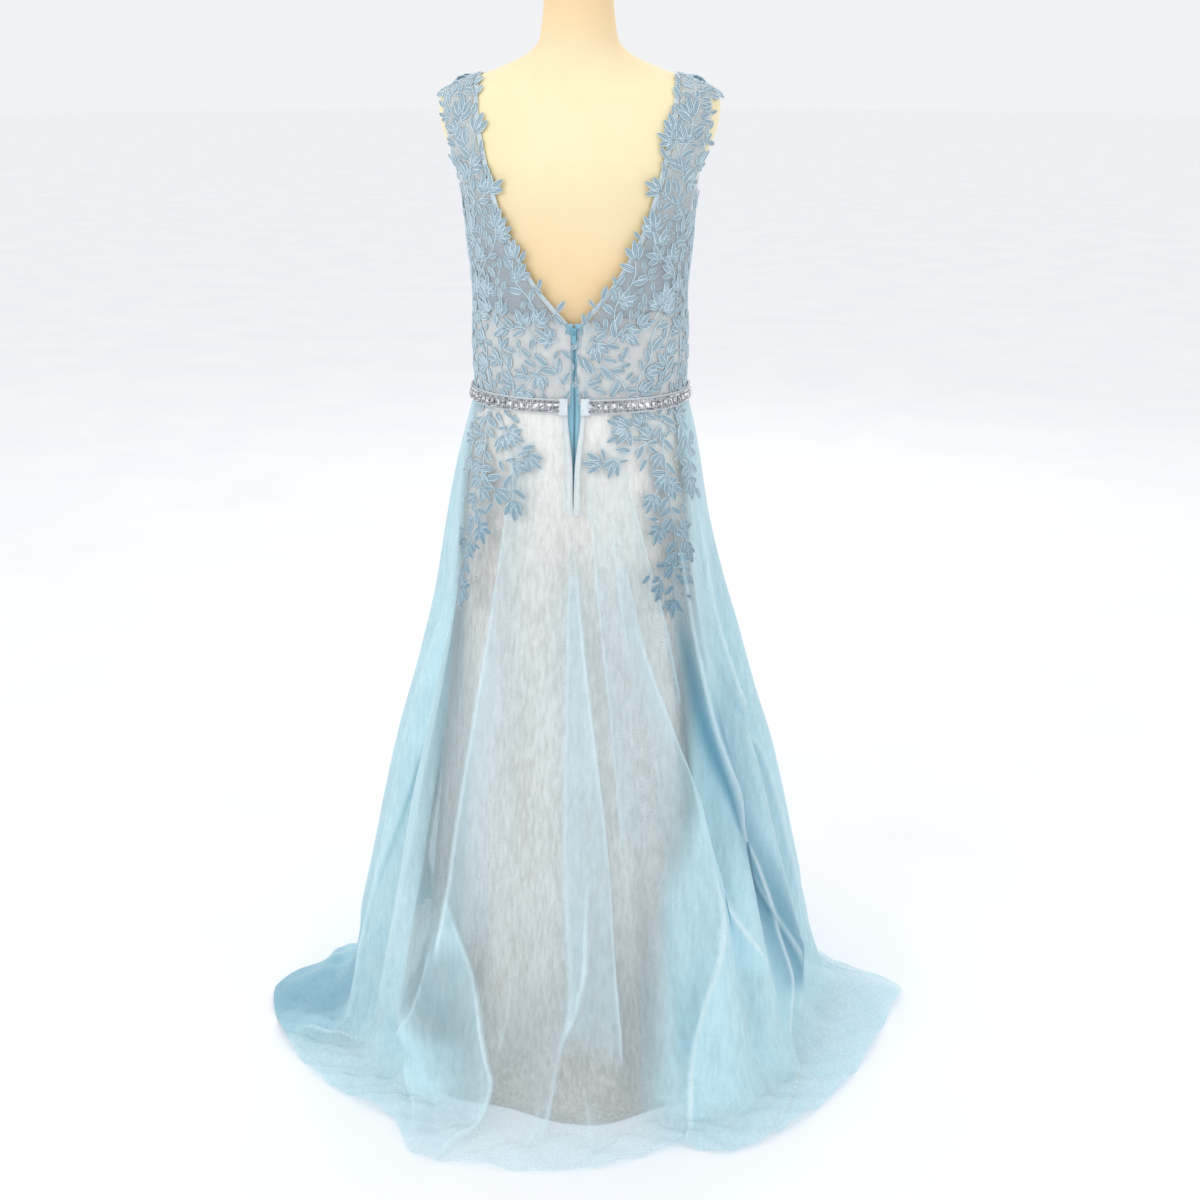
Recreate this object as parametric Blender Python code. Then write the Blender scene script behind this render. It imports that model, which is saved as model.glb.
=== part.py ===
"""Prom dress with an open V back, on the limbless dress form that carries it.

Metres, +Z up. The wearer faces +Y, so the open back is towards -Y, and +X is the wearer's right.
The origin is on the floor, at the centre of the form's foot.
Angles run round the body from the back seam: 0 is the back, 90 the wearer's right side, 180 the front.
"""

import math

import bmesh
import bpy
import numpy as np
from mathutils import Vector
from mathutils.bvhtree import BVHTree
from mathutils.geometry import delaunay_2d_cdt

# Driving dimensions
WAIST_Z = 1.0457
SEAM_GAP = 0.0002
LAYER_GAP = 0.0003
NET_WALL = 0.0010
LINING_WALL = 0.0010
FACING_WALL = 0.0006
SKIRT_WALL = 0.0010
UNDERARM_Z = 1.235
STRAP_Z = 1.310
ZIP_TOP_Z = 1.155
ZIP_FOOT_Z = 0.905

# Dress form: level, half width, depth behind and in front of the side line
FORM_SECTIONS = (
    (0.800, 0.1480, 0.1160, 0.1020),
    (0.860, 0.1560, 0.1240, 0.1080),
    (0.930, 0.1500, 0.1160, 0.1040),
    (0.990, 0.1420, 0.1040, 0.1000),
    (1.045, 0.1370, 0.0980, 0.0980),
    (1.107, 0.1410, 0.0995, 0.1060),
    (1.170, 0.1440, 0.1030, 0.1170),
    (1.205, 0.1460, 0.1052, 0.1200),
    (1.240, 0.1495, 0.1070, 0.1220),
    (1.275, 0.1520, 0.1073, 0.1180),
    (1.310, 0.1555, 0.1070, 0.1120),
    (1.360, 0.1685, 0.1020, 0.0980),
    (1.393, 0.1840, 0.0940, 0.0880),
    (1.415, 0.1895, 0.0860, 0.0810),
    (1.435, 0.1910, 0.0780, 0.0740),
    (1.450, 0.1830, 0.0720, 0.0690),
    (1.460, 0.1650, 0.0670, 0.0650),
    (1.4695, 0.1410, 0.0630, 0.0620),
    (1.485, 0.0990, 0.0590, 0.0590),
    (1.4995, 0.0680, 0.0550, 0.0560),
    (1.514, 0.0540, 0.0510, 0.0530),
    (1.537, 0.0490, 0.0480, 0.0500),
    (1.565, 0.0465, 0.0460, 0.0480),
    (1.600, 0.0460, 0.0455, 0.0475),
)
FORM_COLUMNS = 32
TORSO_SQUARENESS = 2.3
BUST_LEVEL = 1.225
BUST_RISE = 0.028
BUST_HEIGHT = 0.055
BUST_ANGLE = 32.0
BUST_SPREAD = 20.0

# How far the dress stands off the form: level, distance from the form to the net's inner face
EASE = (
    (1.0457, 0.0160),
    (1.107, 0.0130),
    (1.170, 0.0112),
    (1.205, 0.0116),
    (1.240, 0.0100),
    (1.310, 0.0054),
    (1.360, 0.0036),
    (1.410, 0.0028),
    (1.440, 0.0025),
    (1.600, 0.0022),
)

# The bodice hangs a little to the wearer's left at the ribs
SWAY = 0.0060
SWAY_LEVEL = 1.210
SWAY_HEIGHT = 0.060

# Edges of the bodice, as distance from the centre line at each level
BACK_NECK = (
    (1.155, 0.0050),
    (1.213, 0.0520),
    (1.272, 0.0860),
    (1.330, 0.1060),
    (1.380, 0.1190),
    (1.429, 0.1280),
    (1.480, 0.1300),
)
FRONT_NECK = (
    (1.190, 0.0004),
    (1.240, 0.0330),
    (1.300, 0.0700),
    (1.350, 0.0960),
    (1.400, 0.1150),
    (1.440, 0.1260),
    (1.480, 0.1300),
)
BACK_ARMHOLE = (
    (1.235, 0.1530),
    (1.272, 0.1540),
    (1.310, 0.1560),
    (1.360, 0.1630),
    (1.390, 0.1710),
    (1.420, 0.1765),
    (1.460, 0.1785),
)
FRONT_ARMHOLE = (
    (1.235, 0.1530),
    (1.272, 0.1460),
    (1.310, 0.1410),
    (1.360, 0.1430),
    (1.400, 0.1540),
    (1.430, 0.1690),
    (1.460, 0.1785),
)
SHOULDER_INNER_X = 0.1300
SHOULDER_OUTER_X = 0.1785
BODICE_LEVELS = (1.0465, 1.085, 1.120, 1.155, 1.195, 1.235, 1.272, 1.310)
STRAP_STEPS = 8
BODICE_COLUMNS = 6
FACING_SHARE = 0.80
FACING_ROWS = 13
EDGE_FALL = 0.0026
FACING_FALL = 0.0013

# Half of the opening that shows the zip: level, half width
ZIP_OPENING = (
    (0.905, 0.0004),
    (0.930, 0.0006),
    (0.960, 0.0010),
    (0.990, 0.0028),
    (1.020, 0.0054),
    (1.045, 0.0064),
    (1.065, 0.0054),
    (1.090, 0.0040),
    (1.120, 0.0040),
    (1.155, 0.0050),
)

# Top edge of the bodice's lining: distance round from the centre as an angle, level
BACK_LINING_TOP = ((0.0, 1.159), (25.0, 1.166), (55.0, 1.178), (90.0, 1.192))
FRONT_LINING_TOP = ((0.0, 1.200), (30.0, 1.226), (60.0, 1.222), (90.0, 1.200))

# Lining of the skirt: distance down the cloth, level, half width, depth behind, depth in front
LINING_PROFILE = (
    (0.000, 1.0457, 0.0000, 0.0000, 0.0000),
    (0.120, 0.930, 0.1660, 0.1350, 0.1300),
    (0.240, 0.815, 0.1810, 0.1600, 0.1490),
    (0.420, 0.640, 0.1980, 0.1880, 0.1700),
    (0.640, 0.424, 0.2200, 0.2200, 0.1950),
    (0.840, 0.228, 0.2410, 0.2510, 0.2170),
    (0.980, 0.090, 0.2560, 0.2720, 0.2320),
    (1.050, 0.024, 0.2680, 0.2950, 0.2420),
    (1.085, 0.0010, 0.2890, 0.3180, 0.2560),
    (1.110, 0.0000, 0.3060, 0.3350, 0.2680),
)
LINING_FOLDS = 9
LINING_FOLD_DEPTH = 0.010

# Net overskirt between its folds, with the share of each fold's height that goes out and up
NET_PROFILE = (
    (0.000, 1.0457, 0.0000, 0.0000, 0.0000, 0.00, 0.00),
    (0.060, 0.987, 0.1680, 0.1290, 0.1270, 0.08, 0.00),
    (0.120, 0.929, 0.1790, 0.1460, 0.1410, 0.18, 0.00),
    (0.210, 0.843, 0.1900, 0.1670, 0.1590, 0.32, 0.00),
    (0.320, 0.736, 0.2020, 0.1890, 0.1790, 0.50, 0.00),
    (0.450, 0.612, 0.2250, 0.2120, 0.2000, 0.70, 0.00),
    (0.600, 0.469, 0.2580, 0.2380, 0.2240, 0.90, 0.00),
    (0.760, 0.315, 0.2900, 0.2640, 0.2480, 1.00, 0.00),
    (0.900, 0.181, 0.3220, 0.2900, 0.2720, 1.00, 0.00),
    (1.000, 0.087, 0.3480, 0.3180, 0.3000, 0.95, 0.00),
    (1.060, 0.034, 0.3750, 0.3450, 0.3240, 0.80, 0.10),
    (1.110, 0.004, 0.4150, 0.3740, 0.3500, 0.55, 0.26),
    (1.160, 0.000, 0.4600, 0.3980, 0.3750, 0.40, 0.30),
    (1.240, 0.000, 0.5200, 0.4380, 0.4100, 0.30, 0.20),
)

# How far the hem reaches over the floor from the centre, by compass angle from the back seam
HEM_REACH = (
    (-180.0, 0.410),
    (-130.0, 0.415),
    (-104.0, 0.425),
    (-93.0, 0.455),
    (-84.0, 0.530),
    (-68.0, 0.505),
    (-51.0, 0.468),
    (-37.0, 0.440),
    (-27.0, 0.474),
    (-14.0, 0.455),
    (5.0, 0.438),
    (23.0, 0.418),
    (33.0, 0.462),
    (51.0, 0.476),
    (72.0, 0.497),
    (84.0, 0.520),
    (91.0, 0.545),
    (97.0, 0.470),
    (104.0, 0.430),
    (130.0, 0.415),
    (180.0, 0.410),
)

# Folds of the overskirt: angle at the waist, angle at the floor, half width there in degrees,
# height there, and how far down the cloth it starts
FOLDS = (
    (-3.0, -5.0, 4.5, 0.020, 0.16),
    (4.0, 8.0, 4.5, 0.024, 0.16),
    (18.0, 22.0, 5.0, 0.020, 0.02),
    (27.0, 39.0, 8.5, 0.046, 0.04),
    (48.0, 56.0, 6.0, 0.036, 0.10),
    (68.0, 73.0, 7.0, 0.040, 0.20),
    (90.0, 92.0, 8.0, 0.048, 0.10),
    (112.0, 113.0, 8.0, 0.038, 0.15),
    (131.0, 133.0, 7.5, 0.040, 0.10),
    (150.0, 152.0, 7.0, 0.034, 0.05),
    (171.0, 170.0, 7.5, 0.038, 0.12),
    (191.0, 190.0, 7.0, 0.036, 0.08),
    (209.0, 209.0, 7.5, 0.034, 0.14),
    (229.0, 228.0, 8.0, 0.040, 0.10),
    (249.0, 248.0, 7.5, 0.038, 0.16),
    (269.0, 268.0, 9.0, 0.048, -0.12),
    (291.0, 291.0, 7.0, 0.038, 0.20),
    (308.0, 307.0, 6.0, 0.030, 0.12),
    (327.0, 326.0, 8.5, 0.044, 0.06),
    (344.0, 344.0, 4.5, 0.018, 0.05),
)
BACK_COLUMNS = 27
FRONT_COLUMNS = 36

# Belt, stone band, zip and stand
BELT_LOW_Z = 1.0350
BELT_TALL = 0.0200
BELT_WALL = 0.0010
STONE_TALL = 0.0170
STONE_WALL = 0.0026
BELT_END_ANGLE = 3.3
STONE_END_ANGLE = 8.0
BELT_LEAN = 0.0036
BELT_SAG = 0.0008
BELT_COLUMNS = 40
TAPE_INNER_X = 0.0018
TAPE_OUTER_X = 0.0120
TAPE_WALL = 0.0006
CHAIN_HALF = 0.0015
CHAIN_WALL = 0.0016
PLACKET_TOP_Z = 1.0310
PLACKET_SHARE = 0.85
SLIDER_SIZE = (0.0072, 0.0036, 0.0150)
SLIDER_Z = 1.1450
SLIDER_SINK = 0.0006
PIVOT_Z = 1.1470
PIVOT_STAND = 0.0012
BAIL_INNER = 0.0016
BAIL_OUTER = 0.0028
BAIL_HALF = 0.0006
TAB_WALL = 0.0008
TAB_LENGTH = 0.0150
POLE_RADIUS = 0.0160
FOOT_RADIUS = 0.1250
FOOT_TALL = 0.0140

# Leaf embroidery
LEAF_EDGE = 0.0008
LEAF_RIDGE = 0.0018
STEM_WIDTH = 0.0026
SEAT_REACH = 0.0080
SEAT_ROUNDS = 4
SEAT_WEIGHTS = {
    2: [np.array([1 - t, t]) for t in (0.15, 0.3, 0.5, 0.7, 0.85)],
    3: [np.array(w) / 6 for w in ((2, 2, 2), (4, 1, 1), (1, 4, 1), (1, 1, 4))],
}

COLOURS = {
    "net": (0.46, 0.66, 0.72, 1.0),
    "tulle": (0.48, 0.76, 0.84, 1.0),
    "satin": (0.78, 0.77, 0.74, 1.0),
    "facing": (0.72, 0.86, 0.90, 1.0),
    "lace": (0.40, 0.60, 0.70, 1.0),
    "stones": (0.80, 0.80, 0.82, 1.0),
    "ribbon": (0.88, 0.92, 0.94, 1.0),
    "zip": (0.22, 0.46, 0.58, 1.0),
    "tape": (0.34, 0.60, 0.72, 1.0),
    "form": (0.93, 0.80, 0.62, 1.0),
    "steel": (0.62, 0.62, 0.64, 1.0),
}


def clear_scene():
    for obj in list(bpy.data.objects):
        bpy.data.objects.remove(obj)


def material(name, roughness=0.8, metallic=0.0):
    found = bpy.data.materials.get(name)
    if found:
        return found
    made = bpy.data.materials.new(name)
    made.use_nodes = True
    shader = made.node_tree.nodes["Principled BSDF"]
    shader.inputs["Base Color"].default_value = COLOURS[name]
    shader.inputs["Roughness"].default_value = roughness
    shader.inputs["Metallic"].default_value = metallic
    return made


def curve_through(rows, column=1):
    """A smooth line through one column of a table, as a function of the table's first column."""
    x = np.array([row[0] for row in rows], float)
    y = np.array([row[column] for row in rows], float)
    step = np.diff(x)
    rise = np.diff(y) / step
    slope = np.zeros_like(y)
    for i in range(1, len(x) - 1):
        if rise[i - 1] * rise[i] > 0:
            before = 2 * step[i] + step[i - 1]
            after = step[i] + 2 * step[i - 1]
            slope[i] = (before + after) / (before / rise[i - 1] + after / rise[i])
    slope[0], slope[-1] = rise[0], rise[-1]

    def at(value):
        value = np.clip(np.asarray(value, float), x[0], x[-1])
        i = np.clip(np.searchsorted(x, value) - 1, 0, len(x) - 2)
        t = (value - x[i]) / step[i]
        return (
            y[i] * (1 + 2 * t) * (1 - t) ** 2
            + slope[i] * step[i] * t * (1 - t) ** 2
            + y[i + 1] * t * t * (3 - 2 * t)
            + slope[i + 1] * step[i] * t * t * (t - 1)
        )

    return at


form_width = curve_through(FORM_SECTIONS, 1)
form_back = curve_through(FORM_SECTIONS, 2)
form_front = curve_through(FORM_SECTIONS, 3)
ease_at = curve_through(EASE)
zip_opening = curve_through(ZIP_OPENING)
hem_reach = curve_through(HEM_REACH)


def squareness(z):
    """How square a section is: an ellipse at the neck, fuller round the ribs."""
    blend = np.clip((1.50 - np.asarray(z, float)) / 0.10, 0, 1)
    return 2.0 + (TORSO_SQUARENESS - 2.0) * blend


def ring_point(angle, z, width, back, front):
    """A point of a rounded section, with the angle in degrees from the back seam."""
    turn = np.radians(angle)
    power = 2 / squareness(z)
    across, along = np.sin(turn), np.cos(turn)
    depth = np.where(along > 0, back, front)
    x = width * np.sign(across) * np.abs(across) ** power
    y = -depth * np.sign(along) * np.abs(along) ** power
    return np.stack(np.broadcast_arrays(x, y, z), axis=-1)


def wrapped(angle):
    return (np.asarray(angle, float) + 180) % 360 - 180


def torso_skin(angle, z):
    """The form's surface."""
    point = ring_point(angle, z, form_width(z), form_back(z), form_front(z))
    rise = BUST_RISE * np.exp(-(((z - BUST_LEVEL) / BUST_HEIGHT) ** 2))
    for side in (-BUST_ANGLE, BUST_ANGLE):
        cup = np.exp(-((wrapped(angle - 180 - side) / BUST_SPREAD) ** 2))
        point[..., 1] += rise * cup
    return point


def normals_of(surface, first, second, step_first, step_second):
    """Outward normals of a surface given as a function of two parameters."""
    one = surface(first + step_first, second) - surface(first - step_first, second)
    two = surface(first, second + step_second) - surface(first, second - step_second)
    normal = np.cross(one, two)
    length = np.linalg.norm(normal, axis=-1, keepdims=True)
    return normal / np.maximum(length, 1e-12)


def torso_point(angle, z, out):
    """A point that stands off the form's surface, along its normal."""
    angle, z = np.broadcast_arrays(np.asarray(angle, float), np.asarray(z, float))
    normal = normals_of(torso_skin, angle, z, 0.2, 0.0004)
    sway = SWAY * np.exp(-(((z - SWAY_LEVEL) / SWAY_HEIGHT) ** 2)) * np.sin(np.radians(angle))
    return torso_skin(angle, z) + normal * (out - sway)[..., None]


def angle_of_x(x, z):
    """The angle on the back at which the form's surface is this far from the centre."""
    share = np.clip(np.asarray(x, float) / form_width(z), 0, 1)
    return np.degrees(np.arcsin(share ** (squareness(z) / 2)))


def ridge_z(x):
    """The level at which the top of the shoulder is this far from the centre."""
    levels = np.linspace(1.436, 1.5995, 400)
    widths = form_width(levels)
    return np.interp(-np.asarray(x, float), -widths, levels)


def bodice_grid(side, front, out, low=0.0, high=1.0, levels=BODICE_LEVELS, straps=True):
    """Rows of points on one quarter of the bodice, from its centre edge to its side or armhole edge.

    low and high take a strip of it, as shares of its width. out is the distance from the net's inner face.
    """
    neck = curve_through(FRONT_NECK if front else BACK_NECK)
    arm = curve_through(FRONT_ARMHOLE if front else BACK_ARMHOLE)
    share = np.linspace(low, high, BODICE_COLUMNS + 1)
    rows = []
    for z in levels:
        inner = SEAM_GAP if front else zip_opening(z)
        if z > (FRONT_NECK if front else BACK_NECK)[0][0]:
            inner = neck(z)
        start = angle_of_x(inner, z)
        stop = 90.0 if z <= UNDERARM_Z else angle_of_x(arm(z), z)
        rows.append(quarter_row(start + (stop - start) * share, z, side, front, out))
    if straps:
        for step in range(1, STRAP_STEPS + 1):
            s = step / STRAP_STEPS
            rows.append(strap_row(s, share, side, front, out, neck, arm))
    grid = np.array(rows)
    apart = SEAM_GAP * (1 if front else -1)
    if high == 1.0:
        grid[: sum(z <= UNDERARM_Z for z in levels), -1, 1] += apart
    if straps:
        grid[-1, :, 1] += apart
    return grid


def quarter_row(angle, z, side, front, out):
    turned = 180 - angle if front else angle
    point = torso_point(turned, z, ease_at(z) + out)
    point[..., 0] *= side
    return point


def strap_row(s, share, side, front, out, neck, arm):
    """One row across the strap. s is 0 at the foot of the strap and 1 on top of the shoulder."""
    foot_in, foot_out = neck(STRAP_Z), arm(STRAP_Z)
    guess = foot_in + (foot_out - foot_in) * share
    for _ in range(4):
        z = strap_level(guess, s)
        guess = neck(z) + (arm(z) - neck(z)) * share
    top = SHOULDER_INNER_X + (SHOULDER_OUTER_X - SHOULDER_INNER_X) * share
    x = guess + (top - guess) * s**4
    z = strap_level(x, s)
    angle = np.where(s >= 1, 90.0, angle_of_x(x, z))
    return quarter_row(angle, z, side, front, out)


def strap_level(x, s):
    top = ridge_z(x)
    return top - (top - STRAP_Z) * (1 - s) ** 1.7


def add_object(name, verts, faces, look, smooth=True):
    mesh = bpy.data.meshes.new(name)
    mesh.from_pydata([tuple(map(float, v)) for v in verts], [], faces)
    work = bmesh.new()
    work.from_mesh(mesh)
    bmesh.ops.recalc_face_normals(work, faces=work.faces)
    work.to_mesh(mesh)
    work.free()
    mesh.materials.append(material(*look) if isinstance(look, tuple) else material(look))
    if smooth:
        mesh.shade_smooth()
        mesh.set_sharp_from_angle(angle=math.radians(40))
    obj = bpy.data.objects.new(name, mesh)
    bpy.context.scene.collection.objects.link(obj)
    return obj


def add_wall(name, inner, outer, look):
    """A closed wall between two matching grids of points.

    Each quad is split along the line that climbs away from the centre, so that walls laid on each
    other have the same flats.
    """
    rows, columns = inner.shape[:2]
    count = rows * columns
    verts = np.concatenate([inner.reshape(-1, 3), outer.reshape(-1, 3)])
    across = np.abs(inner[..., 0])
    faces = []
    for i in range(rows - 1):
        for j in range(columns - 1):
            a, b = i * columns + j, i * columns + j + 1
            c, d = b + columns, a + columns
            outward = across[i : i + 2, j + 1].sum() > across[i : i + 2, j].sum()
            rising = inner[i + 1, j, 2] > inner[i, j, 2]
            split = ((a, b, c), (a, c, d)) if outward == rising else ((a, b, d), (b, c, d))
            faces += split
            faces += [tuple(v + count for v in face[::-1]) for face in split]
    rim = [j for j in range(columns)]
    rim += [i * columns + columns - 1 for i in range(1, rows)]
    rim += [(rows - 1) * columns + j for j in range(columns - 2, -1, -1)]
    rim += [i * columns for i in range(rows - 2, 0, -1)]
    for k, a in enumerate(rim):
        b = rim[(k + 1) % len(rim)]
        faces.append((b, a, a + count, b + count))
    return add_object(name, verts, faces, look)


def make_form():
    levels = [row[0] for row in FORM_SECTIONS]
    angles = np.arange(FORM_COLUMNS) * 360 / FORM_COLUMNS
    verts = np.concatenate([torso_skin(angles, np.full(FORM_COLUMNS, z)) for z in levels])
    faces = []
    for i in range(len(levels) - 1):
        for j in range(FORM_COLUMNS):
            k = (j + 1) % FORM_COLUMNS
            low, high = i * FORM_COLUMNS, (i + 1) * FORM_COLUMNS
            faces.append((low + j, low + k, high + k, high + j))
    faces.append(tuple(range(FORM_COLUMNS))[::-1])
    top = (len(levels) - 1) * FORM_COLUMNS
    faces.append(tuple(range(top, top + FORM_COLUMNS)))
    add_object("form_torso", verts, faces, "form")


def make_turned(name, profile, look, sides=32):
    """A solid of revolution about Z, from radius and level pairs that start and end on the axis."""
    angles = np.arange(sides) * 2 * math.pi / sides
    verts = [(0, 0, profile[0][1])]
    for radius, z in profile[1:-1]:
        verts += [(radius * math.cos(a), radius * math.sin(a), z) for a in angles]
    verts.append((0, 0, profile[-1][1]))
    rings = len(profile) - 2
    faces = []
    for j in range(sides):
        k = (j + 1) % sides
        faces.append((0, 1 + k, 1 + j))
        for i in range(rings - 1):
            low, high = 1 + i * sides, 1 + (i + 1) * sides
            faces.append((low + j, low + k, high + k, high + j))
        faces.append((1 + (rings - 1) * sides + j, 1 + (rings - 1) * sides + k, len(verts) - 1))
    add_object(name, verts, faces, look)


def make_stand():
    edge = 0.003
    foot = (
        (0, 0),
        (FOOT_RADIUS, 0),
        (FOOT_RADIUS, FOOT_TALL - edge),
        (FOOT_RADIUS - edge, FOOT_TALL),
        (0, FOOT_TALL),
    )
    make_turned("form_foot", foot, ("steel", 0.4, 1.0))
    low, high = FOOT_TALL + LAYER_GAP, FORM_SECTIONS[0][0] - LAYER_GAP
    pole = ((0, low), (POLE_RADIUS, low), (POLE_RADIUS, high), (0, high))
    make_turned("form_pole", pole, ("steel", 0.3, 1.0), 20)


def make_bodice():
    for side, word in ((-1, "left"), (1, "right")):
        for front, place in ((False, "back"), (True, "front")):
            inner = bodice_grid(side, front, 0.0)
            outer = bodice_grid(side, front, NET_WALL)
            add_wall(f"bodice_{place}_{word}", inner, outer, "net")


def lining_grid(side, front, out):
    """The bodice's lining: the net's own rows, then a top row part of the way to the net's next one.

    The top edge is free and falls in towards the body.
    """
    whole = 5 if front else 4
    grid = bodice_grid(side, front, out)[: whole + 1]
    grid[-1] = bodice_grid(side, front, out - EDGE_FALL)[whole]
    angles = np.linspace(0, 90, BODICE_COLUMNS + 1)
    top = curve_through(FRONT_LINING_TOP if front else BACK_LINING_TOP)(angles)
    low, high = BODICE_LEVELS[whole - 1], BODICE_LEVELS[whole]
    share = ((top - low) / (high - low))[:, None]
    grid[-1] = grid[-2] + (grid[-1] - grid[-2]) * share
    return grid


def make_bodice_lining():
    outer, inner = -LAYER_GAP, -LAYER_GAP - LINING_WALL
    for side, word in ((-1, "left"), (1, "right")):
        pair = lining_grid(side, False, inner), lining_grid(side, False, outer)
        add_wall(f"bodice_lining_back_{word}", *pair, "satin")
    halves = []
    for out in (inner, outer):
        left, right = lining_grid(-1, True, out), lining_grid(1, True, out)
        middle = (left[:, :1] + right[:, :1]) / 2
        middle[..., 1] -= EDGE_FALL / 2
        halves.append(np.concatenate([left[:, :0:-1], middle, right[:, 1:]], axis=1))
    add_wall("bodice_lining_front", *halves, "satin")


def make_facings():
    """The turned edge inside the net along the neck, from the net's own points."""
    outer, inner = -LAYER_GAP, -LAYER_GAP - FACING_WALL
    for side, word in ((-1, "left"), (1, "right")):
        for front, place in ((False, "back"), (True, "front")):
            first = 5 if front else 4
            grids = []
            for out in (inner, outer):
                near = bodice_grid(side, front, out)[first:FACING_ROWS, 0]
                far = bodice_grid(side, front, out - FACING_FALL)[first:FACING_ROWS, 1]
                grids.append(np.stack([near, near + (far - near) * FACING_SHARE], axis=1))
            add_wall(f"neck_facing_{place}_{word}", *grids, "facing")


def profile_curves(rows):
    """The columns of a skirt's table as smooth lines, with the waist's row taken from the bodice."""
    first = (
        rows[0][:2]
        + (
            float(form_width(WAIST_Z) + ease_at(WAIST_Z)),
            float(form_back(WAIST_Z) + ease_at(WAIST_Z)),
            float(form_front(WAIST_Z) + ease_at(WAIST_Z)),
        )
        + rows[0][5:]
    )
    table = (first,) + rows[1:]
    return [curve_through(table, column) for column in range(1, len(first))]


net_curves = profile_curves(NET_PROFILE)
lining_curves = profile_curves(LINING_PROFILE)
NET_LENGTH = NET_PROFILE[-1][0]
LINING_LENGTH = LINING_PROFILE[-1][0]
FLOOR_AT = 1.06
SPREAD_FROM = 0.95


def fold_rise(angle, down):
    """How far the folds stand out at an angle and a distance down the cloth."""
    share = np.clip(down / FLOOR_AT, 0, 1)
    rise = np.zeros(np.broadcast(angle, down).shape)
    for top, foot, width, height, start in FOLDS:
        centre = top + (foot - top) * share**1.2
        half = width * (0.72 + 0.28 * share)
        grown = np.clip((down - start) / 0.30, 0, 1)
        away = np.abs(wrapped(angle - centre)) / half
        rise = rise + height * grown * grown * (3 - 2 * grown) * np.exp(-(away**2.4))
    return rise


def net_surface(angle, down):
    """The overskirt's inner face, at an angle and a distance down the cloth."""
    angle, down = np.broadcast_arrays(np.asarray(angle, float), np.asarray(down, float))
    z, width, back, front, out, lift = (curve(down) for curve in net_curves)
    rise = fold_rise(angle, down)
    point = ring_point(angle, z, width + out * rise, back + out * rise, front + out * rise)
    point[..., 2] = z + lift * rise
    hem = [float(curve(NET_LENGTH)) for curve in net_curves[1:5]]
    edge_rise = hem[3] * fold_rise(angle, NET_LENGTH)
    edge = ring_point(angle, 0.0, hem[0] + edge_rise, hem[1] + edge_rise, hem[2] + edge_rise)
    radius = np.hypot(edge[..., 0], edge[..., 1])
    compass = np.degrees(np.arctan2(edge[..., 0], -edge[..., 1]))
    further = (hem_reach(compass) - radius) * np.clip(down - SPREAD_FROM, 0, 1) / (NET_LENGTH - SPREAD_FROM)
    point[..., :2] += edge[..., :2] * (further / radius)[..., None]
    return point


def lining_surface(angle, down):
    angle, down = np.broadcast_arrays(np.asarray(angle, float), np.asarray(down, float))
    z, width, back, front = (curve(down) for curve in lining_curves)
    share = np.clip((down - 0.25) / 0.8, 0, 1)
    wave = LINING_FOLD_DEPTH * share * np.sin(np.radians(LINING_FOLDS * angle + 50))
    return ring_point(angle, z, width + wave, back + wave, front + wave)


def surface_wall(name, surface, angles, downs, low, high, look):
    """A wall of a skirt, from a grid of angles and distances down the cloth."""
    angle, down = np.broadcast_arrays(angles, downs)
    normal = -normals_of(surface, angle, down, 0.15, 0.0005)
    base = surface(angle, down)
    add_wall(name, base + normal * low, base + normal * high, look)


def skirt_rows(profile):
    return np.array([row[0] for row in profile])[:, None]


def panel_angles(start, stop, columns, surface, downs, width_curve, opening=None):
    """Angles of a panel's grid. Each edge stands off its seam, and the back edge off the zip too."""
    radius = np.maximum(width_curve(downs), 0.1)
    gap = np.full_like(downs, 2 * SEAM_GAP)
    levels = surface(np.zeros_like(downs), downs)[..., 2]
    wide = np.maximum(zip_opening(levels), 2 * SEAM_GAP)
    wide = np.where(levels > ZIP_FOOT_Z, wide, 2 * SEAM_GAP)
    from_gap = wide if opening == "start" else gap
    to_gap = wide if opening == "stop" else gap
    from_angle = start + np.degrees(from_gap / radius)
    to_angle = stop - np.degrees(to_gap / radius)
    return from_angle + (to_angle - from_angle) * np.linspace(0, 1, columns + 1)[None, :]


PANELS = (
    ("back_right", 0.0, 90.0, BACK_COLUMNS, "start"),
    ("front", 90.0, 270.0, FRONT_COLUMNS, None),
    ("back_left", 270.0, 360.0, BACK_COLUMNS, "stop"),
)


def make_skirt():
    downs = skirt_rows(NET_PROFILE)
    for name, start, stop, columns, opening in PANELS:
        angles = panel_angles(start, stop, columns, net_surface, downs, net_curves[1], opening)
        surface_wall(f"overskirt_{name}", net_surface, angles, downs, 0.0, SKIRT_WALL, "tulle")
    downs = skirt_rows(LINING_PROFILE)
    for name, start, stop, columns, opening in PANELS:
        angles = panel_angles(start, stop, columns // 3, lining_surface, downs, lining_curves[1], opening)
        low, high = lining_offsets(downs)
        surface_wall(f"skirt_lining_{name}", lining_surface, angles, downs, low, high, "satin")


def lining_offsets(downs):
    """The lining's faces: under the net at the waist, and on the floor with its inner face at the hem."""
    tucked = -LAYER_GAP - LINING_WALL
    low = tucked * np.clip(1 - downs / 0.12, 0, 1)
    return low[..., None], low[..., None] + LINING_WALL


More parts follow.
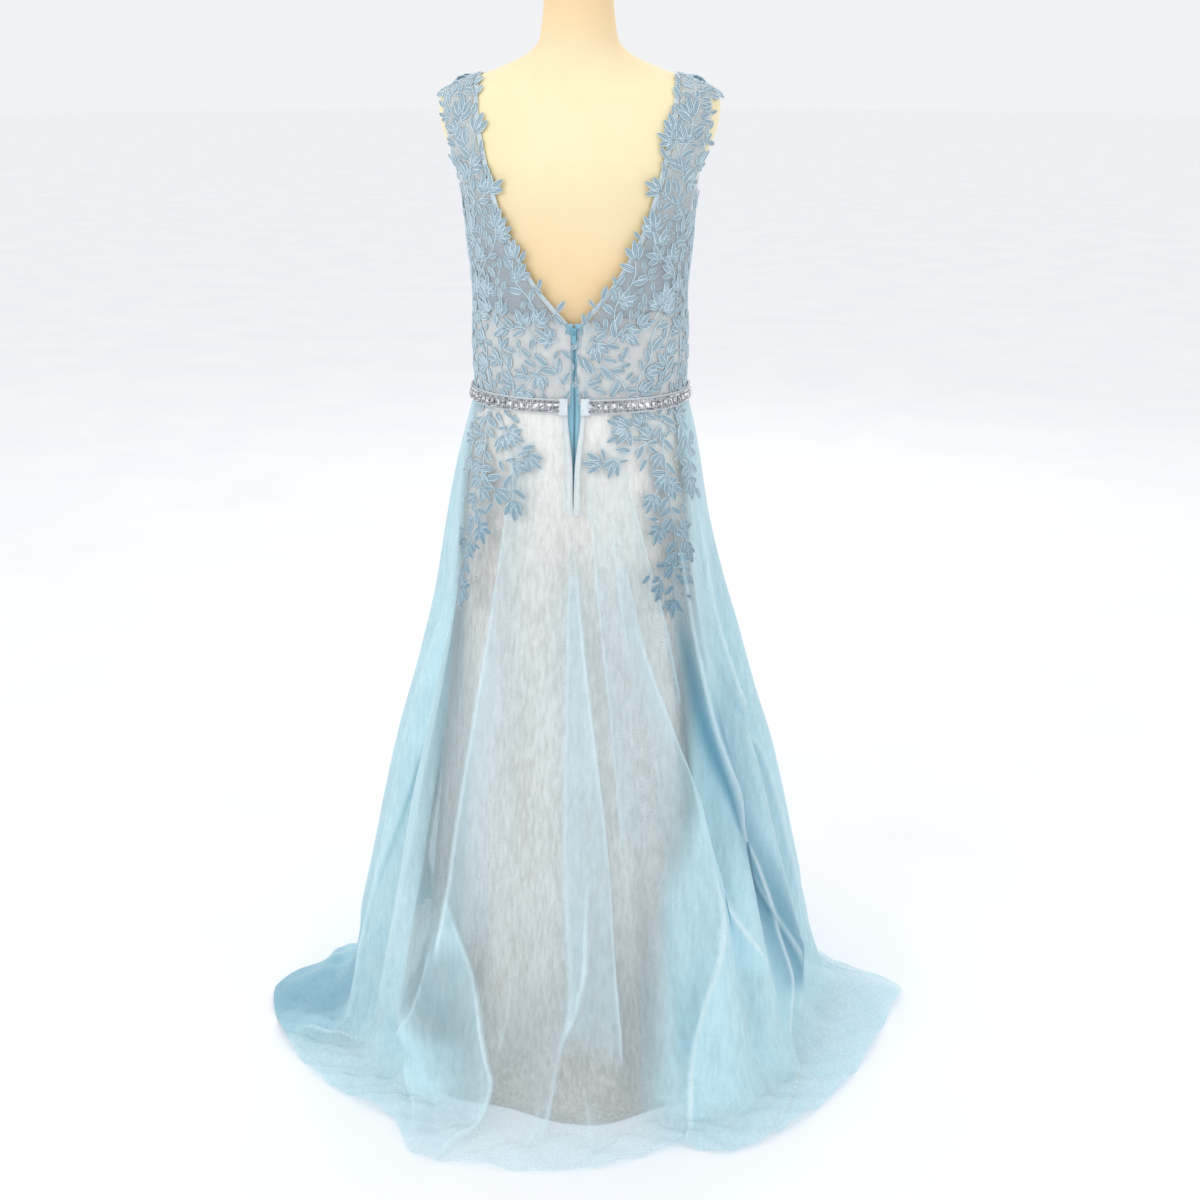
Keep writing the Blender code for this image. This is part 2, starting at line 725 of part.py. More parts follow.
def make_belt():
    angles = np.linspace(STONE_END_ANGLE, 360 - STONE_END_ANGLE, BELT_COLUMNS + 1)
    angles = np.concatenate([[BELT_END_ANGLE], angles, [360 - BELT_END_ANGLE]])
    low = NET_WALL + LAYER_GAP
    grids = [belt_grid(angles, 0.0, low + wall) for wall in (0.0, BELT_WALL)]
    add_wall("belt_ribbon", *grids, "ribbon")
    margin = (BELT_TALL - STONE_TALL) / 2
    low += BELT_WALL + LAYER_GAP
    grids = [belt_grid(angles[1:-1], margin, low + wall) for wall in (0.0, STONE_WALL)]
    add_wall("belt_stones", *grids, ("stones", 0.15, 0.6))


def belt_grid(angles, margin, out):
    """The belt stands off the waist's section, and leans out over the skirt at its lower edge."""
    rows = []
    for level in (margin, BELT_TALL - margin):
        lean = BELT_LEAN * (1 - level / BELT_TALL)
        ring = torso_point(angles, WAIST_Z, ease_at(WAIST_Z) + BELT_SAG + out + lean)
        ring[..., 2] = BELT_LOW_Z + level
        rows.append(ring)
    return np.array(rows)


def lining_edge(side, x, out):
    """Points on the back edge of the linings, top to bottom, this far from the centre line.

    They lie on the flat that the lining's first column makes. out is the distance from the net's inner face.
    """
    upper = lining_grid(side, False, out)[::-1, :2]
    downs = skirt_rows(LINING_PROFILE)
    start, stop, columns, opening = (PANELS[0] if side > 0 else PANELS[-1])[1:]
    angle = panel_angles(start, stop, columns // 3, lining_surface, downs, lining_curves[1], opening)
    angle, down = np.broadcast_arrays(angle[:, ::side], downs)
    angle, down = angle[:3, :2], down[:3, :2]
    settled = out + (LAYER_GAP + LINING_WALL) * np.clip(down / 0.12, 0, 1)
    normal = -normals_of(lining_surface, angle, down, 0.15, 0.0005)
    lower = lining_surface(angle, down) + normal * settled[..., None]
    waist = (upper[-1] + lower[0]) / 2
    rows = np.concatenate([upper[:-1], waist[None], lower[1:]])
    near, far = rows[:, 0], rows[:, 1]
    share = (side * x - near[:, 0]) / (far[:, 0] - near[:, 0])
    line = near + (far - near) * share[:, None]
    foot = (ZIP_FOOT_Z - line[-2, 2]) / (line[-1, 2] - line[-2, 2])
    line[-1] = line[-2] + (line[-1] - line[-2]) * foot
    return line


def make_zip():
    outer = -2 * LAYER_GAP - LINING_WALL
    inner = outer - TAPE_WALL
    for side, word in ((-1, "left"), (1, "right")):
        grids = [
            np.stack([lining_edge(side, x, out) for x in (TAPE_INNER_X, TAPE_OUTER_X)], axis=1)
            for out in (inner, outer)
        ]
        add_wall(f"zip_tape_{word}", *grids, "tape")
    grids = [
        np.stack([lining_edge(side, CHAIN_HALF, out) for side in (-1, 1)], axis=1)
        for out in (outer - CHAIN_WALL, outer)
    ]
    add_wall("zip_chain", *grids, "zip")
    make_slider()
    make_tab()


def back_skin(z):
    """The y of the net's inner face on the back seam."""
    return float(torso_point(0.0, z, ease_at(z))[1])


def slider_face():
    """The y of the slider's outer face, and of its back."""
    back = back_skin(SLIDER_Z) + SLIDER_SINK
    return back - SLIDER_SIZE[1], back


def make_box(name, low, high, look):
    (x0, y0, z0), (x1, y1, z1) = low, high
    verts = [(x, y, z) for x in (x0, x1) for y in (y0, y1) for z in (z0, z1)]
    faces = [(0, 1, 3, 2), (4, 6, 7, 5), (0, 4, 5, 1), (2, 3, 7, 6), (0, 2, 6, 4), (1, 5, 7, 3)]
    return add_object(name, verts, faces, look, smooth=False)


def make_prism(name, outline, low, high, axis, look):
    """A flat outline with thickness along X or Y. Outline pairs are (y, z) or (x, z)."""
    n = len(outline)
    if axis == "x":
        verts = [(e, a, b) for e in (low, high) for a, b in outline]
    else:
        verts = [(a, e, b) for e in (low, high) for a, b in outline]
    faces = [tuple(range(n)), tuple(range(2 * n - 1, n - 1, -1))]
    faces += [(k, (k + 1) % n, n + (k + 1) % n, n + k) for k in range(n)]
    return add_object(name, verts, faces, look, smooth=False)


def make_slider():
    face, back = slider_face()
    half_x, half_z = SLIDER_SIZE[0] / 2, SLIDER_SIZE[2] / 2
    body = make_box(
        "zip_slider",
        (-half_x, face, SLIDER_Z - half_z),
        (half_x, back, SLIDER_Z + half_z),
        ("zip", 0.35, 0.3),
    )
    pivot = face - PIVOT_STAND
    steps = 8
    arc = [math.pi * k / steps for k in range(steps + 1)]
    sink = 0.0006
    outline = [(face + sink, PIVOT_Z - BAIL_OUTER)]
    outline += [(pivot - BAIL_OUTER * math.sin(a), PIVOT_Z - BAIL_OUTER * math.cos(a)) for a in arc]
    outline += [(face + sink, PIVOT_Z + BAIL_OUTER), (face + sink, PIVOT_Z + BAIL_INNER)]
    outline += [(pivot - BAIL_INNER * math.sin(a), PIVOT_Z + BAIL_INNER * math.cos(a)) for a in arc]
    outline.append((face + sink, PIVOT_Z - BAIL_INNER))
    bail = make_prism("bail_to_join", outline, -BAIL_HALF, BAIL_HALF, "x", "zip")
    bail.hide_render = True
    bail.display_type = "WIRE"
    join = body.modifiers.new("bail", "BOOLEAN")
    join.operation = "UNION"
    join.solver = "EXACT"
    join.object = bail


def make_tab():
    """The pull tab hangs on the bail by a bar across its top, and turns about that bar."""
    face, _ = slider_face()
    pivot = face - PIVOT_STAND
    bar, rail, slot = 0.0007, 0.0026, 0.0037
    outline = [(-rail, bar), (rail, bar), (rail, -slot), (0.0034, -0.008), (0.0030, -0.0125)]
    outline += [(0.0016, -TAB_LENGTH), (-0.0016, -TAB_LENGTH), (-0.0030, -0.0125)]
    outline += [(-0.0034, -0.008), (-rail, -slot)]
    lifted = [(x, PIVOT_Z + z) for x, z in outline]
    tab = make_prism("zip_pull_tab", lifted, pivot - TAB_WALL / 2, pivot + TAB_WALL / 2, "y", ("zip", 0.35, 0.3))
    hole = make_box(
        "slot_to_cut",
        (-0.0012, pivot - TAB_WALL, PIVOT_Z - slot),
        (0.0012, pivot + TAB_WALL, PIVOT_Z - bar),
        "zip",
    )
    hole.hide_render = True
    hole.display_type = "WIRE"
    cut = tab.modifiers.new("slot", "BOOLEAN")
    cut.operation = "DIFFERENCE"
    cut.solver = "EXACT"
    cut.object = hole


def make_plackets():
    """Folded satin edges on both sides of the zip, over the net."""
    downs = skirt_rows(NET_PROFILE)[:4]
    start, stop, columns, opening = PANELS[0][1:]
    angle = panel_angles(start, stop, columns, net_surface, downs, net_curves[1], opening)
    angle, down = np.broadcast_arrays(angle, downs)
    for side, word in ((-1, "left"), (1, "right")):
        placed = angle if side > 0 else 360 - angle
        normal = -normals_of(net_surface, placed, down, 0.15, 0.0005)
        grids = []
        for out in (SKIRT_WALL + LAYER_GAP, SKIRT_WALL + LAYER_GAP + FACING_WALL):
            grid = (net_surface(placed, down) + normal * out)[:, :2]
            top = (PLACKET_TOP_Z - grid[0, :, 2]) / (grid[1, :, 2] - grid[0, :, 2])
            grid[0] = grid[0] + (grid[1] - grid[0]) * top[:, None]
            foot = (ZIP_FOOT_Z - 0.006 - grid[2, :, 2]) / (grid[3, :, 2] - grid[2, :, 2])
            grid[3] = grid[2] + (grid[3] - grid[2]) * foot[:, None]
            grid[:, 1] = grid[:, 0] + (grid[:, 1] - grid[:, 0]) * PLACKET_SHARE
            grids.append(grid)
        add_wall(f"zip_placket_{word}", *grids, "facing")


def torso_chart(front):
    """Maps distance round from the centre and level to a point on the net, and its normal."""
    angles = np.linspace(-20, 110, 131)

    def at(u, v, out):
        points = np.zeros((len(u), 3))
        for k, (arc, z) in enumerate(zip(u, v)):
            ring = torso_skin(180 - angles if front else angles, np.full_like(angles, z))
            step = np.linalg.norm(np.diff(ring, axis=0), axis=1)
            length = np.concatenate([[0], np.cumsum(step)])
            length -= np.interp(0, angles, length)
            angle = np.interp(arc, length, angles)
            turned = 180 - angle if front else angle
            points[k] = torso_point(turned, z, ease_at(z) + out[k])
        return points

    return at


def strap_chart(front):
    """Maps distance from the centre and distance below the shoulder's top to a point on the strap."""

    def at(u, v, out):
        points = np.zeros((len(u), 3))
        steps = np.linspace(0, 1, 81)
        for k, (x, below) in enumerate(zip(u, v)):
            top = ridge_z(x)
            levels = top - (top - 1.20) * (1 - steps) ** 1.7
            angles = angle_of_x(np.full_like(levels, x), levels)
            angles[-1] = 90.0
            skin = torso_skin(180 - angles if front else angles, levels)
            step = np.linalg.norm(np.diff(skin, axis=0), axis=1)
            length = np.concatenate([[0], np.cumsum(step)])
            length = length[-1] - length
            z = np.interp(below, length[::-1], levels[::-1])
            angle = np.interp(below, length[::-1], angles[::-1])
            turned = 180 - angle if front else angle
            points[k] = torso_point(turned, z, ease_at(z) + out[k])
        return points

    return at


def skirt_chart(front):
    """Maps distance round from the centre and distance down the cloth to a point on the overskirt."""
    angles = np.linspace(-10, 110, 121)

    def at(u, v, out):
        points = np.zeros((len(u), 3))
        for k, (arc, down) in enumerate(zip(u, v)):
            z, width, back, ahead = (curve(down) for curve in net_curves[:4])
            ring = ring_point(180 - angles if front else angles, z, width, back, ahead)
            step = np.linalg.norm(np.diff(ring, axis=0), axis=1)
            length = np.concatenate([[0], np.cumsum(step)])
            length -= np.interp(0, angles, length)
            angle = np.interp(arc, length, angles)
            turned = np.array(180 - angle if front else angle)
            here = np.array(down)
            normal = -normals_of(net_surface, turned, here, 0.3, 0.001)
            points[k] = net_surface(turned, here) + normal * out[k]
        return points

    return at


def leaf_shape(base, heading, length, width):
    """A pointed leaf's outline and midrib on the flat."""
    turn = math.radians(heading)
    along = np.array([math.cos(turn), math.sin(turn)])
    across = np.array([-along[1], along[0]])
    outline = [
        base - along * 0.0006,
        base + along * length * 0.42 - across * width * 0.50,
        base + along * length,
        base + along * length * 0.42 + across * width * 0.50,
    ]
    return outline, base + along * length * 0.45


def stem_shapes(points, width):
    """Overlapping strips along a stem."""
    shapes = []
    for a, b in zip(points[:-1], points[1:]):
        along = (b - a) / np.linalg.norm(b - a)
        across = np.array([-along[1], along[0]]) * width / 2
        start, stop = a - along * width * 0.3, b + along * width * 0.3
        shapes.append([start - across, stop - across, stop + across, start + across])
    return shapes


def spray_shapes(stems):
    """Leaves and stems of a spray. A stem has its points, then spacing, leaf length and leaf width."""
    leaves, strips = [], []
    for points, spacing, length, width in stems:
        path = [np.array(p, float) for p in points]
        strips += stem_shapes(path, STEM_WIDTH)
        side = 1
        travelled = spacing * 0.6
        for a, b in zip(path[:-1], path[1:]):
            run = np.linalg.norm(b - a)
            heading = math.degrees(math.atan2(b[1] - a[1], b[0] - a[0]))
            while travelled < run:
                base = a + (b - a) * travelled / run
                leaves.append((base, heading + side * 48, length, width))
                side = -side
                travelled += spacing
            travelled -= run
        leaves.append((path[-1], heading, length * 1.1, width))
    return leaves, strips


def make_spray(name, chart, stems, mirror, panels):
    """A flat, connected spray of leaves, laid on panels through a chart."""
    leaves, strips = spray_shapes(stems)
    verts, polygons, edges, ridges = [], [], [], []
    for shape in strips:
        polygons.append(list(range(len(verts), len(verts) + len(shape))))
        verts += [tuple(p) for p in shape]
    for base, heading, length, width in leaves:
        outline, ridge = leaf_shape(base, heading, length, width)
        first = len(verts)
        polygons.append(list(range(first, first + len(outline))))
        verts += [tuple(p) for p in outline]
        ridges.append(len(verts))
        verts.append(tuple(ridge))
    flat, _, faces, from_verts, _, from_faces = delaunay_2d_cdt(verts, [], polygons, 1, 1e-5, True)
    faces = [tuple(face) for face, source in zip(faces, from_faces) if source]
    crests = {i for i, source in enumerate(from_verts) if set(source) & set(ridges)}
    top = thinned(flat, faces, crests)
    bottom = thinned(flat, faces, set())
    used = sorted({v for face in top for v in face})
    place = {v: i for i, v in enumerate(used)}
    u = np.array([flat[v][0] for v in used])
    v = np.array([flat[v][1] for v in used])
    tall = np.array([LEAF_RIDGE if i in crests else LEAF_EDGE for i in used])
    skin = chart(u, v, np.zeros(len(u)))
    normal = chart(u, v, np.full(len(u), 0.001)) - skin
    skin[:, 0] *= mirror
    normal[:, 0] *= mirror
    normal /= np.linalg.norm(normal, axis=1, keepdims=True)
    count = len(used)
    top = [tuple(place[v] for v in face) for face in top]
    bottom = [tuple(place[v] for v in face) for face in bottom]
    low = seated(skin, normal, bottom, panels)
    high = low + normal * tall[:, None]
    solid = bottom + [tuple(i + count for i in face[::-1]) for face in top]
    directed = {(a, b) for face in bottom for a, b in zip(face, face[1:] + face[:1])}
    for a, b in sorted(directed):
        if (b, a) not in directed:
            solid.append((b, a, a + count, b + count))
    verts = np.concatenate([low, high])
    used = sorted({v for face in solid for v in face})
    place = {v: i for i, v in enumerate(used)}
    solid = [tuple(place[v] for v in face) for face in solid]
    add_object(name, verts[used], solid, "lace")


def seated(points, normal, faces, panels):
    """Moves points along their normals until the faces between them clear the panels by a layer's gap."""
    work = bmesh.new()
    for panel in panels:
        work.from_mesh(bpy.data.objects[panel].data)
    tree = BVHTree.FromBMesh(work)
    work.free()

    def clearance(at, outward):
        above = Vector(at + outward * SEAT_REACH)
        found = tree.ray_cast(above, Vector(-outward), 1.5 * SEAT_REACH)
        return None if found[0] is None else found[3] - SEAT_REACH

    lift = np.full(len(points), NET_WALL + LAYER_GAP)
    for k, (at, outward) in enumerate(zip(points, normal)):
        clear = clearance(at, outward)
        if clear is not None:
            lift[k] = LAYER_GAP - clear
    spans = {tuple(sorted(pair)) for face in faces for pair in zip(face, face[1:] + face[:1])}
    spans = sorted(spans) + sorted(faces)
    for _ in range(SEAT_ROUNDS):
        placed = points + normal * lift[:, None]
        raised = lift.copy()
        for span in spans:
            span = list(span)
            for weights in SEAT_WEIGHTS[len(span)]:
                at = (placed[span] * weights[:, None]).sum(axis=0)
                outward = normal[span].mean(axis=0)
                clear = clearance(at, outward / np.linalg.norm(outward))
                if clear is not None and clear < LAYER_GAP:
                    raised[span] = np.maximum(raised[span], lift[span] + LAYER_GAP - clear)
        lift = raised
    for _ in range(SEAT_ROUNDS * 4):
        placed = points + normal * lift[:, None]
        sheet = BVHTree.FromPolygons([Vector(p) for p in placed], faces)
        for k in {pair[0] for pair in sheet.overlap(tree)}:
            lift[list(faces[k])] += LAYER_GAP / 2
    return points + normal * lift[:, None]


def thinned(flat, faces, crests):
    """The flat shape again, with no point inside its edge but the crests."""
    work = bmesh.new()
    source = work.verts.layers.int.new("source")
    used = sorted({v for face in faces for v in face})
    made = {}
    for v in used:
        made[v] = work.verts.new((flat[v][0], flat[v][1], 0))
        made[v][source] = v
    for face in faces:
        work.faces.new([made[v] for v in face])
    inside = [v for v in work.verts if not v.is_boundary and v[source] not in crests]
    bmesh.ops.dissolve_verts(work, verts=inside)
    bmesh.ops.triangulate(work, faces=work.faces)
    bmesh.ops.recalc_face_normals(work, faces=work.faces)
    upward = [face for face in work.faces if face.normal.z < 0]
    bmesh.ops.reverse_faces(work, faces=upward)
    result = [tuple(v[source] for v in face.verts) for face in work.faces]
    work.free()
    return result


# Sprays: each stem's points as distance from the centre and level, or distance down the cloth,
# then the spacing of its leaves, their length and their width
BACK_TORSO_SPRAY = (
    (((0.034, 1.084), (0.046, 1.130), (0.052, 1.160)), 0.019, 0.023, 0.0090),
    (((0.046, 1.130), (0.078, 1.126), (0.104, 1.142), (0.116, 1.170)), 0.019, 0.023, 0.0090),
    (((0.078, 1.126), (0.082, 1.086)), 0.018, 0.022, 0.0085),
    (((0.104, 1.142), (0.130, 1.118), (0.136, 1.084)), 0.018, 0.022, 0.0085),
    (((0.116, 1.170), (0.112, 1.205), (0.124, 1.240)), 0.019, 0.022, 0.0085),
    (((0.116, 1.170), (0.084, 1.186), (0.068, 1.208)), 0.019, 0.022, 0.0085),
)
BACK_STRAP_SPRAY = (
    (((0.126, 0.205), (0.121, 0.165), (0.136, 0.100), (0.152, 0.030)), 0.018, 0.022, 0.0085),
)
FRONT_TORSO_SPRAY = (
    (((0.022, 1.084), (0.052, 1.140), (0.060, 1.175)), 0.024, 0.024, 0.0095),
    (((0.052, 1.140), (0.112, 1.150), (0.120, 1.215)), 0.024, 0.024, 0.0095),
    (((0.088, 1.146), (0.096, 1.086)), 0.024, 0.023, 0.0095),
)
FRONT_STRAP_SPRAY = (
    (((0.106, 0.190), (0.124, 0.105), (0.150, 0.032)), 0.023, 0.022, 0.0085),
)
BACK_SKIRT_SPRAY = (
    (((0.112, 0.036), (0.128, 0.090), (0.158, 0.215), (0.176, 0.325)), 0.028, 0.026, 0.0100),
    (((0.128, 0.090), (0.094, 0.078), (0.062, 0.084)), 0.022, 0.024, 0.0090),
    (((0.112, 0.036), (0.158, 0.056), (0.188, 0.128)), 0.024, 0.025, 0.0095),
    (((0.143, 0.150), (0.104, 0.186)), 0.024, 0.024, 0.0090),
    (((0.158, 0.215), (0.206, 0.240)), 0.024, 0.024, 0.0090),
)
FRONT_SKIRT_SPRAY = (
    (((0.110, 0.036), (0.124, 0.090), (0.148, 0.200), (0.160, 0.275)), 0.030, 0.026, 0.0100),
    (((0.124, 0.090), (0.070, 0.094)), 0.026, 0.024, 0.0090),
)


def make_embroidery():
    for mirror, word in ((-1, "left"), (1, "right")):
        back, front = [f"bodice_back_{word}"], [f"bodice_front_{word}"]
        make_spray(f"leaves_back_{word}", torso_chart(False), BACK_TORSO_SPRAY, mirror, back)
        make_spray(f"leaves_back_strap_{word}", strap_chart(False), BACK_STRAP_SPRAY, mirror, back)
        make_spray(f"leaves_front_{word}", torso_chart(True), FRONT_TORSO_SPRAY, mirror, front)
        make_spray(f"leaves_front_strap_{word}", strap_chart(True), FRONT_STRAP_SPRAY, mirror, front)
        back, front = [f"overskirt_back_{word}"], ["overskirt_front"]
        make_spray(f"leaves_skirt_back_{word}", skirt_chart(False), BACK_SKIRT_SPRAY, mirror, back)
        make_spray(f"leaves_skirt_front_{word}", skirt_chart(True), FRONT_SKIRT_SPRAY, mirror, front)


clear_scene()
make_form()
make_stand()
make_bodice()
make_bodice_lining()
make_facings()
make_skirt()
make_belt()
make_zip()
make_plackets()
make_embroidery()
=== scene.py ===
"""Looks of the prom dress on its dress form: cloth, embroidery, belt, zip and stand.

Metres, +Z up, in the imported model's frame. Angles run round the body from the back seam:
0 is the back, 90 the wearer's right side, 180 the front, 270 the left side.
"""

import math
import random

import bpy
import numpy as np
from mathutils import Matrix, Vector
from mathutils.bvhtree import BVHTree


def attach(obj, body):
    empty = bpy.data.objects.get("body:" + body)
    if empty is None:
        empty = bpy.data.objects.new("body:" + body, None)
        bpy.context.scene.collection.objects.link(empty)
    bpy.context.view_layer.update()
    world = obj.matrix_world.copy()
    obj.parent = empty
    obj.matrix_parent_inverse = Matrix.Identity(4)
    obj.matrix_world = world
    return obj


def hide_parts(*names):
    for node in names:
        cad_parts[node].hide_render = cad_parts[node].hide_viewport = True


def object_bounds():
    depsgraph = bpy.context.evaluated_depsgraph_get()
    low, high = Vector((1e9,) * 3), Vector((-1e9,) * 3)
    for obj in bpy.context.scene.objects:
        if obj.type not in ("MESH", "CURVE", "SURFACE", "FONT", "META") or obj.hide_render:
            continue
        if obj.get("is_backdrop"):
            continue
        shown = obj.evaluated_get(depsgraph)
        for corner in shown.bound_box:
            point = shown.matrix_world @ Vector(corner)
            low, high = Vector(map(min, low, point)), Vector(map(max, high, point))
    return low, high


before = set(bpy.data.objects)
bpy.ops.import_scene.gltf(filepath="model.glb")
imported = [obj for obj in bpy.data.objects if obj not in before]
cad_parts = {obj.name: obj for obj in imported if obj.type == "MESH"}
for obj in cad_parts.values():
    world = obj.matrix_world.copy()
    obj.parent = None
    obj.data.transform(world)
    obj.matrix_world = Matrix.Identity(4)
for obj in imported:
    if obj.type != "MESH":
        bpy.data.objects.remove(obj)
cad_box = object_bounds()

# Sizes shared with the solids
WAIST_Z = 1.0457
SEAM_GAP = 0.0002
LAYER_GAP = 0.0003
NET_WALL = 0.0010
LINING_WALL = 0.0010
FACING_WALL = 0.0006
SKIRT_WALL = 0.0010
UNDERARM_Z = 1.235
STRAP_Z = 1.310
ZIP_TOP_Z = 1.155
ZIP_FOOT_Z = 0.905

# Dress form: level, half width, depth behind and in front of the side line
FORM_SECTIONS = (
    (0.800, 0.1480, 0.1160, 0.1020),
    (0.860, 0.1560, 0.1240, 0.1080),
    (0.930, 0.1500, 0.1160, 0.1040),
    (0.990, 0.1420, 0.1040, 0.1000),
    (1.045, 0.1370, 0.0980, 0.0980),
    (1.107, 0.1410, 0.0995, 0.1060),
    (1.170, 0.1440, 0.1030, 0.1170),
    (1.205, 0.1460, 0.1052, 0.1200),
    (1.240, 0.1495, 0.1070, 0.1220),
    (1.275, 0.1520, 0.1073, 0.1180),
    (1.310, 0.1555, 0.1070, 0.1120),
    (1.360, 0.1685, 0.1020, 0.0980),
    (1.393, 0.1840, 0.0940, 0.0880),
    (1.415, 0.1895, 0.0860, 0.0810),
    (1.435, 0.1910, 0.0780, 0.0740),
    (1.450, 0.1830, 0.0720, 0.0690),
    (1.460, 0.1650, 0.0670, 0.0650),
    (1.4695, 0.1410, 0.0630, 0.0620),
    (1.485, 0.0990, 0.0590, 0.0590),
    (1.4995, 0.0680, 0.0550, 0.0560),
    (1.514, 0.0540, 0.0510, 0.0530),
    (1.537, 0.0490, 0.0480, 0.0500),
    (1.565, 0.0465, 0.0460, 0.0480),
    (1.600, 0.0460, 0.0455, 0.0475),
)
TORSO_SQUARENESS = 2.3
BUST_LEVEL = 1.225
BUST_RISE = 0.028
BUST_HEIGHT = 0.055
BUST_ANGLE = 32.0
BUST_SPREAD = 20.0

# How far the dress stands off the form: level, distance from the form to the net's inner face
EASE = (
    (1.0457, 0.0160),
    (1.107, 0.0130),
    (1.170, 0.0112),
    (1.205, 0.0116),
    (1.240, 0.0100),
    (1.310, 0.0054),
    (1.360, 0.0036),
    (1.410, 0.0028),
    (1.440, 0.0025),
    (1.600, 0.0022),
)
SWAY = 0.0060
SWAY_LEVEL = 1.210
SWAY_HEIGHT = 0.060

# Edges of the bodice, as distance from the centre line at each level
BACK_NECK = (
    (1.155, 0.0050),
    (1.213, 0.0520),
    (1.272, 0.0860),
    (1.330, 0.1060),
    (1.380, 0.1190),
    (1.429, 0.1280),
    (1.480, 0.1300),
)
FRONT_NECK = (
    (1.190, 0.0004),
    (1.240, 0.0330),
    (1.300, 0.0700),
    (1.350, 0.0960),
    (1.400, 0.1150),
    (1.440, 0.1260),
    (1.480, 0.1300),
)
BACK_ARMHOLE = (
    (1.235, 0.1530),
    (1.272, 0.1540),
    (1.310, 0.1560),
    (1.360, 0.1630),
    (1.390, 0.1710),
    (1.420, 0.1765),
    (1.460, 0.1785),
)
FRONT_ARMHOLE = (
    (1.235, 0.1530),
    (1.272, 0.1460),
    (1.310, 0.1410),
    (1.360, 0.1430),
    (1.400, 0.1540),
    (1.430, 0.1690),
    (1.460, 0.1785),
)
SHOULDER_INNER_X = 0.1300
SHOULDER_OUTER_X = 0.1785
BODICE_FOOT_Z = 1.0465

# Half of the opening that shows the zip: level, half width
ZIP_OPENING = (
    (0.905, 0.0004),
    (0.930, 0.0006),
    (0.960, 0.0010),
    (0.990, 0.0028),
    (1.020, 0.0054),
    (1.045, 0.0064),
    (1.065, 0.0054),
    (1.090, 0.0040),
    (1.120, 0.0040),
    (1.155, 0.0050),
)

# Top edge of the bodice's lining: angle from the centre line, level
BACK_LINING_TOP = ((0.0, 1.159), (25.0, 1.166), (55.0, 1.178), (90.0, 1.192))
FRONT_LINING_TOP = ((0.0, 1.200), (30.0, 1.226), (60.0, 1.222), (90.0, 1.200))

# Lining of the skirt: distance down the cloth, level, half width, depth behind, depth in front
LINING_PROFILE = (
    (0.000, 1.0457, 0.0000, 0.0000, 0.0000),
    (0.120, 0.930, 0.1660, 0.1350, 0.1300),
    (0.240, 0.815, 0.1810, 0.1600, 0.1490),
    (0.420, 0.640, 0.1980, 0.1880, 0.1700),
    (0.640, 0.424, 0.2200, 0.2200, 0.1950),
    (0.840, 0.228, 0.2410, 0.2510, 0.2170),
    (0.980, 0.090, 0.2560, 0.2720, 0.2320),
    (1.050, 0.024, 0.2680, 0.2950, 0.2420),
    (1.085, 0.0010, 0.2890, 0.3180, 0.2560),
    (1.110, 0.0000, 0.3060, 0.3350, 0.2680),
)
LINING_FOLDS = 9
LINING_FOLD_DEPTH = 0.010

# Net overskirt between its folds, with the share of each fold's height that goes out and up
NET_PROFILE = (
    (0.000, 1.0457, 0.0000, 0.0000, 0.0000, 0.00, 0.00),
    (0.060, 0.987, 0.1680, 0.1290, 0.1270, 0.08, 0.00),
    (0.120, 0.929, 0.1790, 0.1460, 0.1410, 0.18, 0.00),
    (0.210, 0.843, 0.1900, 0.1670, 0.1590, 0.32, 0.00),
    (0.320, 0.736, 0.2020, 0.1890, 0.1790, 0.50, 0.00),
    (0.450, 0.612, 0.2250, 0.2120, 0.2000, 0.70, 0.00),
    (0.600, 0.469, 0.2580, 0.2380, 0.2240, 0.90, 0.00),
    (0.760, 0.315, 0.2900, 0.2640, 0.2480, 1.00, 0.00),
    (0.900, 0.181, 0.3220, 0.2900, 0.2720, 1.00, 0.00),
    (1.000, 0.087, 0.3480, 0.3180, 0.3000, 0.95, 0.00),
    (1.060, 0.034, 0.3750, 0.3450, 0.3240, 0.80, 0.10),
    (1.110, 0.004, 0.4150, 0.3740, 0.3500, 0.55, 0.26),
    (1.160, 0.000, 0.4600, 0.3980, 0.3750, 0.40, 0.30),
    (1.240, 0.000, 0.5200, 0.4380, 0.4100, 0.30, 0.20),
)
NET_LENGTH = NET_PROFILE[-1][0]
LINING_LENGTH = LINING_PROFILE[-1][0]
FLOOR_AT = 1.06
SPREAD_FROM = 0.95

# How far the hem reaches over the floor from the centre, by compass angle from the back seam
HEM_REACH = (
    (-180.0, 0.410),
    (-130.0, 0.415),
    (-104.0, 0.425),
    (-93.0, 0.455),
    (-84.0, 0.530),
    (-68.0, 0.505),
    (-51.0, 0.468),
    (-37.0, 0.440),
    (-27.0, 0.474),
    (-14.0, 0.455),
    (5.0, 0.438),
    (23.0, 0.418),
    (33.0, 0.462),
    (51.0, 0.476),
    (72.0, 0.497),
    (84.0, 0.520),
    (91.0, 0.545),
    (97.0, 0.470),
    (104.0, 0.430),
    (130.0, 0.415),
    (180.0, 0.410),
)

